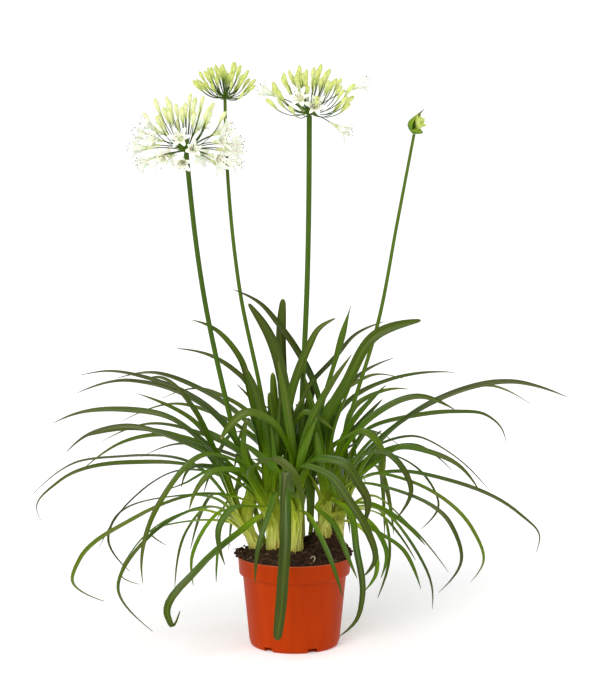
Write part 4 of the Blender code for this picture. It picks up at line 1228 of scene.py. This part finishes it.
def dress_fibres(skin, draw):
    """Fibres that wander over the peat, straws over the rim and the curled root at the front."""
    for _ in range(FIBRES):
        spot = Vector((*spot_in_disc(84 * MM, draw), 0.0))
        turn = draw.uniform(0, math.tau)
        long = draw.uniform(4, 13) * MM
        path = []
        for k in range(7):
            turn += draw.uniform(-0.5, 0.5)
            spot = spot + on_circle(1.0, turn, 0.0) * long / 6
            spot *= min(1.0, SOIL_OVERHANG / max(1e-6, spot.length))
            lift = (0.5 + 1.3 * math.sin(math.pi * k / 6) * draw.random()) * MM
            path.append(on_soil(spot.x, spot.y, lift))
        tube(skin, path, draw.uniform(0.16, 0.38) * MM, 5, FIBRE, tone=draw.random())
    for x, y, long, rise in STRAWS:
        foot = Vector((x, y, SOIL_EDGE + 3 * MM))
        side = Vector((math.copysign(long * MM, x), -2 * MM, rise * MM))
        path = bent(foot, foot + UP * rise * MM, foot + side * 0.7, 6)
        tube(skin, path, 0.3 * MM, 5, FIBRE, tone=0.9)
    curl = []
    radii = []
    for k in range(13):
        angle = math.radians(120 - 190 * k / 12)
        x = 0.0255 + 0.0048 * math.cos(angle)
        y = -0.062 + 0.0062 * (1.0 - math.sin(angle)) * -0.8
        curl.append(on_soil(x, y, 1.2 * MM + 3.2 * MM * math.sin(math.pi * k / 12)))
        radii.append((0.95 - 0.45 * abs(k / 6 - 1) ** 3) * MM)
    tube(skin, curl, radii, 8, ROOT, tone=0.5)


def dress_soil(materials):
    """Peat with clods that hang over the rim, loose crumbs, perlite, fibres and a curled root."""
    skin = Skin("soil_face", materials)
    draw = random.Random(CRUMB_SEED)
    dress_soil_face(skin)
    dress_grains(skin, draw)
    dress_fibres(skin, draw)
    skin.finish("soil_peat", "soil", sharp=80)


class Paint:
    """A node material that is put together one node at a time."""

    def __init__(self, name, **sockets):
        self.material = bpy.data.materials.new(name)
        self.material.use_nodes = True
        self.tree = self.material.node_tree
        self.shader = self.tree.nodes["Principled BSDF"]
        for socket, value in sockets.items():
            self.shader.inputs[socket.replace("_", " ")].default_value = value

    def put(self, kind, inputs=(), **settings):
        node = self.tree.nodes.new("ShaderNode" + kind)
        for name, value in settings.items():
            setattr(node, name, value)
        for key, value in dict(inputs).items():
            if isinstance(value, bpy.types.NodeSocket):
                self.tree.links.new(value, node.inputs[key])
            else:
                node.inputs[key].default_value = value
        return node

    def mark(self, name):
        return self.put("Attribute", attribute_name=name).outputs["Fac"]

    def sum(self, operation, a, b=0.0, clamp=False):
        return self.put("Math", {0: a, 1: b}, operation=operation, use_clamp=clamp).outputs[0]

    def times(self, a, b):
        return self.sum("MULTIPLY", a, b)

    def rest(self, value):
        return self.sum("SUBTRACT", 1.0, value)

    def span(self, value, low, high):
        inputs = {0: value, 1: low, 2: high, 3: 0.0, 4: 1.0}
        return self.put("MapRange", inputs, clamp=True).outputs[0]

    def mix(self, share, a, b):
        a = (*a, 1.0) if isinstance(a, tuple) else a
        b = (*b, 1.0) if isinstance(b, tuple) else b
        return self.put("Mix", {0: share, 6: a, 7: b}, data_type="RGBA").outputs[2]

    def tint(self, color, other, share, weight):
        """Lay another colour over a colour, by a share that a weight holds down."""
        return self.mix(self.times(share, weight), color, other)

    def ramp(self, value, *stops):
        node = self.put("ValToRGB", {0: value})
        while len(node.color_ramp.elements) < len(stops):
            node.color_ramp.elements.new(1.0)
        for element, (place, color) in zip(node.color_ramp.elements, stops):
            element.position = place
            element.color = (*color, 1.0)
        return node.outputs[0]

    def grain(self, vector, scale, detail=3.0, rough=0.5):
        inputs = {"Vector": vector, "Scale": scale, "Detail": detail, "Roughness": rough}
        return self.put("TexNoise", inputs).outputs[0]

    def streaks(self, place, scale, detail=3.0, rough=0.5):
        """Grain that is drawn out along the axes with the smaller scales."""
        drawn = self.put("Mapping", {"Vector": place, "Scale": scale}).outputs[0]
        return self.grain(drawn, 1.0, detail, rough)

    def roughness(self, grain, low, high):
        return self.put("MapRange", {0: grain, 1: 0.2, 2: 0.8, 3: low, 4: high}).outputs[0]

    def vector(self, x=0.0, y=0.0, z=0.0):
        return self.put("CombineXYZ", {0: x, 1: y, 2: z}).outputs[0]

    def place(self):
        return self.put("TexCoord").outputs["Object"]

    def set(self, color=None, roughness=None, height=None, strength=0.3, distance=0.001):
        if color is not None:
            self.tree.links.new(color, self.shader.inputs["Base Color"])
        if roughness is not None:
            self.tree.links.new(roughness, self.shader.inputs["Roughness"])
        if height is not None:
            bump = self.put("Bump", {"Height": height, "Strength": strength, "Distance": distance})
            self.tree.links.new(bump.outputs[0], self.shader.inputs["Normal"])
        return self.material


def paint_blade(paint, foot, tone, veins, patches):
    """Green of a blade by its tone, with olive patches, an aged end and a painted sheen, a
    grey-green highlight on faces that turn upwards.
    """
    blade = paint.ramp(
        tone, (0.0, (0.020, 0.044, 0.0)), (0.35, (0.044, 0.086, 0.0)),
        (0.7, (0.084, 0.144, 0.0)), (1.0, (0.18, 0.26, 0.003)),
    )
    olive = paint.times(paint.span(patches, 0.52, 0.70), paint.span(tone, 0.35, 0.6))
    olive = paint.times(olive, paint.span(foot, 0.12, 0.2))
    blade = paint.tint(blade, (0.15, 0.145, 0.045), olive, 0.7)
    aged = paint.times(paint.span(paint.mark("run"), 0.40, 0.95), paint.span(tone, 0.95, 0.25))
    blade = paint.tint(blade, (0.070, 0.070, 0.010), aged, 0.50)
    # Painted sheen: a grey-green highlight painted on upper faces that turn upwards, where light
    # from above catches them; darker leaves get more of it.
    level = paint.put("SeparateXYZ", {0: paint.put("NewGeometry").outputs["Normal"]}).outputs[2]
    painted_sheen = paint.times(paint.span(level, 0.35, 0.95), paint.span(veins, 0.34, 0.62))
    painted_sheen = paint.times(painted_sheen, paint.rest(paint.mark("under")))
    dull = paint.sum("ADD", 0.14, paint.times(paint.span(tone, 0.58, 0.40), 0.46))
    return paint.tint(blade, (0.30, 0.31, 0.19), painted_sheen, dull)


def paint_sheath(paint, start, veins):
    """The pale clasping base, streaked near the soil, that greens on its way up."""
    sheath = paint.ramp(
        paint.span(start, 0.0, 0.26), (0.0, (0.60, 0.42, 0.07)), (0.07, (0.93, 0.92, 0.22)),
        (0.24, (0.68, 0.80, 0.045)), (0.42, (0.27, 0.46, 0.003)), (0.66, (0.085, 0.22, 0.0)),
        (1.0, (0.045, 0.13, 0.0)),
    )
    streaks = paint.times(paint.span(veins, 0.46, 0.60), paint.span(start, 0.13, 0.05))
    return paint.tint(sheath, (0.92, 0.96, 0.24), streaks, 0.5)


def paint_leaf():
    """Pale sheath, then a dark strap with veins, a light midrib, a dull underside and a dry tip."""
    paint = Paint("leaf_strap", Specular_IOR_Level=0.17)
    foot = paint.mark("foot")
    across = paint.mark("across")
    tone = paint.mark("tone")
    seed = paint.times(tone, 50.0)
    fine = paint.vector(paint.times(across, 7.0), paint.times(foot, 9.0), seed)
    veins = paint.grain(fine, 1.3, 4.0, 0.6)
    patches = paint.grain(paint.vector(across, paint.times(foot, 14.0), seed), 1.0, 2.0)
    blade = paint_blade(paint, foot, tone, veins, patches)
    start = paint.sum("ADD", foot, paint.times(paint.sum("SUBTRACT", patches, 0.5), 0.05))
    color = paint.mix(paint.span(start, 0.10, 0.28), paint_sheath(paint, start, veins), blade)
    rib = paint.rest(paint.span(paint.sum("ABSOLUTE", across), 0.02, 0.16))
    color = paint.tint(color, (0.20, 0.28, 0.012), rib, 0.25)
    color = paint.tint(color, (0.09, 0.145, 0.008), paint.mark("under"), 0.25)
    dark = paint.mix(1.0, color, (0.50, 0.52, 0.36))
    dark.node.blend_type = "MULTIPLY"
    color = paint.mix(paint.span(veins, 0.36, 0.62), dark, color)
    dry = paint.times(paint.span(paint.mark("run"), 0.982, 0.998), paint.span(tone, 0.60, 0.70))
    color = paint.mix(dry, color, (0.26, 0.17, 0.06))
    return paint.set(color, paint.roughness(patches, 0.26, 0.46), veins, 0.35, 0.0006)


def paint_stem():
    """Dark green, lighter at the foot, with fine streaks and broad patches."""
    paint = Paint("stem_green", Specular_IOR_Level=0.14)
    place = paint.place()
    streaks = paint.streaks(place, (900.0, 900.0, 14.0))
    broad = paint.grain(place, 26.0, 2.0)
    color = paint.ramp(
        paint.span(paint.mark("foot"), 0.0, 0.6), (0.0, (0.32, 0.42, 0.03)),
        (0.18, (0.085, 0.17, 0.006)), (0.6, (0.034, 0.078, 0.002)), (1.0, (0.042, 0.088, 0.004)),
    )
    color = paint.tint(color, (0.22, 0.32, 0.02), paint.mark("tone"), 0.35)
    color = paint.tint(color, (0.13, 0.21, 0.012), paint.span(streaks, 0.45, 0.75), 0.30)
    color = paint.tint(color, (0.03, 0.075, 0.003), paint.span(broad, 0.5, 0.75), 0.25)
    return paint.set(color, paint.roughness(streaks, 0.34, 0.5), streaks, 0.2, 0.0004)


def paint_petal():
    """Cream white from a green base, with a faint midrib and veins."""
    paint = Paint(
        "petal_white", Specular_IOR_Level=0.3, Roughness=0.5, Subsurface_Weight=0.25,
        Subsurface_Scale=0.003,
    )
    run = paint.mark("run")
    across = paint.mark("across")
    seed = paint.times(paint.mark("tone"), 40.0)
    veins = paint.grain(paint.vector(paint.times(across, 5.0), paint.times(run, 2.0), seed), 1.5)
    color = paint.ramp(
        run, (0.0, (0.50, 0.58, 0.16)), (0.14, (0.74, 0.76, 0.42)), (0.36, (0.95, 0.94, 0.78)),
        (0.8, (0.975, 0.965, 0.88)), (1.0, (0.95, 0.93, 0.76)),
    )
    rib = paint.rest(paint.span(paint.sum("ABSOLUTE", across), 0.0, 0.3))
    color = paint.tint(color, (0.80, 0.82, 0.56), rib, 0.22)
    color = paint.tint(color, (0.86, 0.86, 0.74), paint.span(veins, 0.5, 0.8), 0.25)
    return paint.set(color, None, veins, 0.25, 0.0004)


def paint_bud():
    """Yellow-green to nearly white by its tone, greener at both ends, with pale ribs and spots."""
    paint = Paint(
        "bud_green", Specular_IOR_Level=0.2, Roughness=0.45, Subsurface_Weight=0.15,
        Subsurface_Scale=0.003,
    )
    run = paint.mark("run")
    spots = paint.grain(paint.place(), 380.0)
    green = paint.ramp(
        run, (0.0, (0.15, 0.26, 0.006)), (0.25, (0.36, 0.48, 0.03)), (0.62, (0.68, 0.76, 0.14)),
        (1.0, (0.36, 0.47, 0.02)),
    )
    white = paint.ramp(
        run, (0.0, (0.34, 0.46, 0.05)), (0.3, (0.76, 0.80, 0.38)), (0.7, (0.93, 0.94, 0.66)),
        (1.0, (0.60, 0.68, 0.14)),
    )
    color = paint.mix(paint.mark("tone"), green, white)
    ribs = paint.span(paint.mark("across"), -1.0, 1.0)
    color = paint.tint(color, (0.90, 0.92, 0.62), ribs, 0.25)
    color = paint.tint(color, (0.42, 0.53, 0.12), paint.span(spots, 0.5, 0.8), 0.3)
    return paint.set(color, None, spots, 0.15, 0.0003)


def paint_stalk():
    """Dark green pedicel, lighter at both ends, with dark specks."""
    paint = Paint("pedicel_green", Specular_IOR_Level=0.15, Roughness=0.5)
    specks = paint.grain(paint.place(), 300.0, 2.0)
    color = paint.ramp(
        paint.mark("run"), (0.0, (0.15, 0.28, 0.008)), (0.35, (0.045, 0.10, 0.004)),
        (0.85, (0.045, 0.085, 0.008)), (1.0, (0.20, 0.29, 0.03)),
    )
    color = paint.tint(color, (0.03, 0.045, 0.022), paint.span(specks, 0.4, 0.7), 0.4)
    return paint.set(color, None, specks, 0.2, 0.0003)


def paint_spathe():
    """Green valve that browns at its beak, with streaks."""
    paint = Paint(
        "spathe_green", Specular_IOR_Level=0.2, Roughness=0.42, Subsurface_Weight=0.1,
        Subsurface_Scale=0.003,
    )
    streaks = paint.streaks(paint.place(), (700.0, 700.0, 60.0))
    color = paint.ramp(
        paint.mark("run"), (0.0, (0.08, 0.17, 0.004)), (0.3, (0.12, 0.22, 0.006)),
        (0.72, (0.22, 0.31, 0.012)), (0.95, (0.035, 0.03, 0.025)),
    )
    color = paint.tint(color, (0.14, 0.30, 0.03), paint.span(streaks, 0.45, 0.7), 0.4)
    return paint.set(color, None, streaks, 0.3, 0.0004)


def paint_plastic():
    """Satin orange plastic with a painted highlight along the top of the lip, faint flow marks and
    scuffs.
    """
    paint = Paint("pot_orange", Specular_IOR_Level=0.06)
    place = paint.place()
    height = paint.put("SeparateXYZ", {0: place}).outputs[2]
    flow = paint.streaks(place, (60.0, 60.0, 9.0))
    fine = paint.grain(place, 900.0, 4.0, 0.6)
    scuff = paint.streaks(place, (40.0, 40.0, 260.0), 5.0, 0.7)
    soil = paint.grain(place, 150.0, 5.0, 0.7)
    color = paint.mix(paint.span(flow, 0.3, 0.75), (0.365, 0.029, 0.0), (0.43, 0.040, 0.0))
    # Painted highlight: the top 1.6 mm of the lip is painted paler, where light catches the rolled
    # edge.
    lip = paint.span(height, POT_HEIGHT - 1.6 * MM, POT_HEIGHT)
    color = paint.tint(color, (0.72, 0.20, 0.09), lip, 0.75)
    color = paint.tint(color, (0.62, 0.10, 0.02), paint.span(scuff, 0.64, 0.80), 0.30)
    soiled = paint.times(paint.span(soil, 0.60, 0.72), paint.span(height, 0.10, 0.134))
    color = paint.tint(color, (0.12, 0.03, 0.012), soiled, 0.5)
    return paint.set(color, paint.roughness(flow, 0.36, 0.48), fine, 0.12, 0.0003)


def paint_peat():
    """Dark crumbly peat, lighter on its fine grain and on some of the crumbs."""
    paint = Paint("peat_dark", Roughness=0.95, Specular_IOR_Level=0.25)
    place = paint.place()
    coarse = paint.grain(place, 140.0, 5.0, 0.65)
    fine = paint.grain(place, 900.0, 4.0, 0.7)
    color = paint.ramp(
        coarse, (0.25, (0.009, 0.004, 0.002)), (0.48, (0.034, 0.015, 0.007)),
        (0.62, (0.075, 0.034, 0.014)), (0.80, (0.16, 0.078, 0.034)),
    )
    color = paint.tint(color, (0.17, 0.075, 0.032), paint.span(fine, 0.55, 0.8), 0.6)
    color = paint.tint(color, (0.12, 0.05, 0.022), paint.span(paint.mark("tone"), 0.75, 1.0), 0.45)
    return paint.set(color, None, fine, 0.9, 0.0016)


def paint_speck(name, dark, light, scale, roughness=0.8, detail=3.0, strength=0.4, distance=0.0004):
    """A small thing with spots between two colours."""
    paint = Paint(name, Roughness=roughness)
    spots = paint.grain(paint.place(), scale, detail)
    color = paint.mix(paint.span(spots, 0.3, 0.7), dark, light)
    return paint.set(color, None, spots, strength, distance)


def white_world(scene):
    """A sky that is brighter where the camera sees it than it lights."""
    world = bpy.data.worlds.new("studio")
    scene.world = world
    world.use_nodes = True
    nodes = world.node_tree.nodes
    sky = nodes["Background"]
    sky.inputs["Color"].default_value = (1.0, 1.0, 1.0, 1.0)
    strength = nodes.new("ShaderNodeMapRange")
    strength.inputs["To Min"].default_value = SKY_LIGHT
    strength.inputs["To Max"].default_value = SKY_SEEN
    seen = nodes.new("ShaderNodeLightPath").outputs["Is Camera Ray"]
    world.node_tree.links.new(seen, strength.inputs["Value"])
    world.node_tree.links.new(strength.outputs[0], sky.inputs["Strength"])


def pale_floor(scene):
    paint = Paint("studio_floor", Roughness=0.9, Specular_IOR_Level=0.1)
    grain = paint.grain(paint.place(), 3.0, 2.0)
    floor_color = paint.mix(grain, (0.93, 0.93, 0.93), (0.96, 0.96, 0.96))
    paint.shader.inputs["Emission Color"].default_value = (1.0, 1.0, 1.0, 1.0)
    paint.shader.inputs["Emission Strength"].default_value = FLOOR_GLOW
    mesh = bpy.data.meshes.new("studio_floor")
    far = FLOOR_REACH
    corners = [(-far, -far, 0), (far, -far, 0), (far, far, 0), (-far, far, 0)]
    mesh.from_pydata(corners, [], [(0, 1, 2, 3)])
    mesh.materials.append(paint.set(floor_color))
    floor = bpy.data.objects.new("studio_floor", mesh)
    scene.collection.objects.link(floor)


def studio():
    """Pale floor, white surroundings, two soft lamps and the camera of the photograph."""
    scene = bpy.context.scene
    scene.view_settings.view_transform = "Standard"
    white_world(scene)
    pale_floor(scene)
    for name, place, spread, power in LAMPS:
        lamp = bpy.data.lights.new(name, "SUN")
        lamp.angle = math.radians(spread)
        lamp.energy = power
        holder = bpy.data.objects.new(name, lamp)
        holder.location = place
        holder.rotation_euler = (-Vector(place)).to_track_quat("-Z", "Y").to_euler()
        scene.collection.objects.link(holder)
    lens = bpy.data.cameras.new("photo_view")
    lens.sensor_width = 36.0
    lens.lens = VIEW_FOCAL
    camera = bpy.data.objects.new("photo_view", lens)
    camera.location = (VIEW_ACROSS, -VIEW_DISTANCE, VIEW_HEIGHT)
    camera.rotation_euler = (math.radians(90.0 - VIEW_PITCH), 0.0, 0.0)
    scene.collection.objects.link(camera)
    scene.camera = camera


def main():
    studio()
    dress_pot(paint_plastic())
    perlite = paint_speck("perlite_white", (0.40, 0.34, 0.25), (0.66, 0.60, 0.48), 900.0)
    fibre = paint_speck("fibre_straw", (0.12, 0.065, 0.03), (0.32, 0.20, 0.10), 500.0)
    root = paint_speck("root_pale", (0.40, 0.33, 0.18), (0.62, 0.56, 0.38), 400.0)
    dress_soil([paint_peat(), perlite, fibre, root])
    tops = dress_stems(paint_stem())
    anther = paint_speck(
        "anther_dark", (0.035, 0.028, 0.035), (0.16, 0.13, 0.11), 1500.0, 0.75, 2.0, 0.3, 0.0002,
    )
    parts = [paint_petal(), paint_bud(), paint_stalk(), anther, paint_spathe()]
    for head in HEADS:
        dress_head(head, tops[head[1]][0], parts)
    dress_right_bud(*tops["scape_right"], parts)
    dress_shoots(lay_leaves(), paint_leaf())


main()
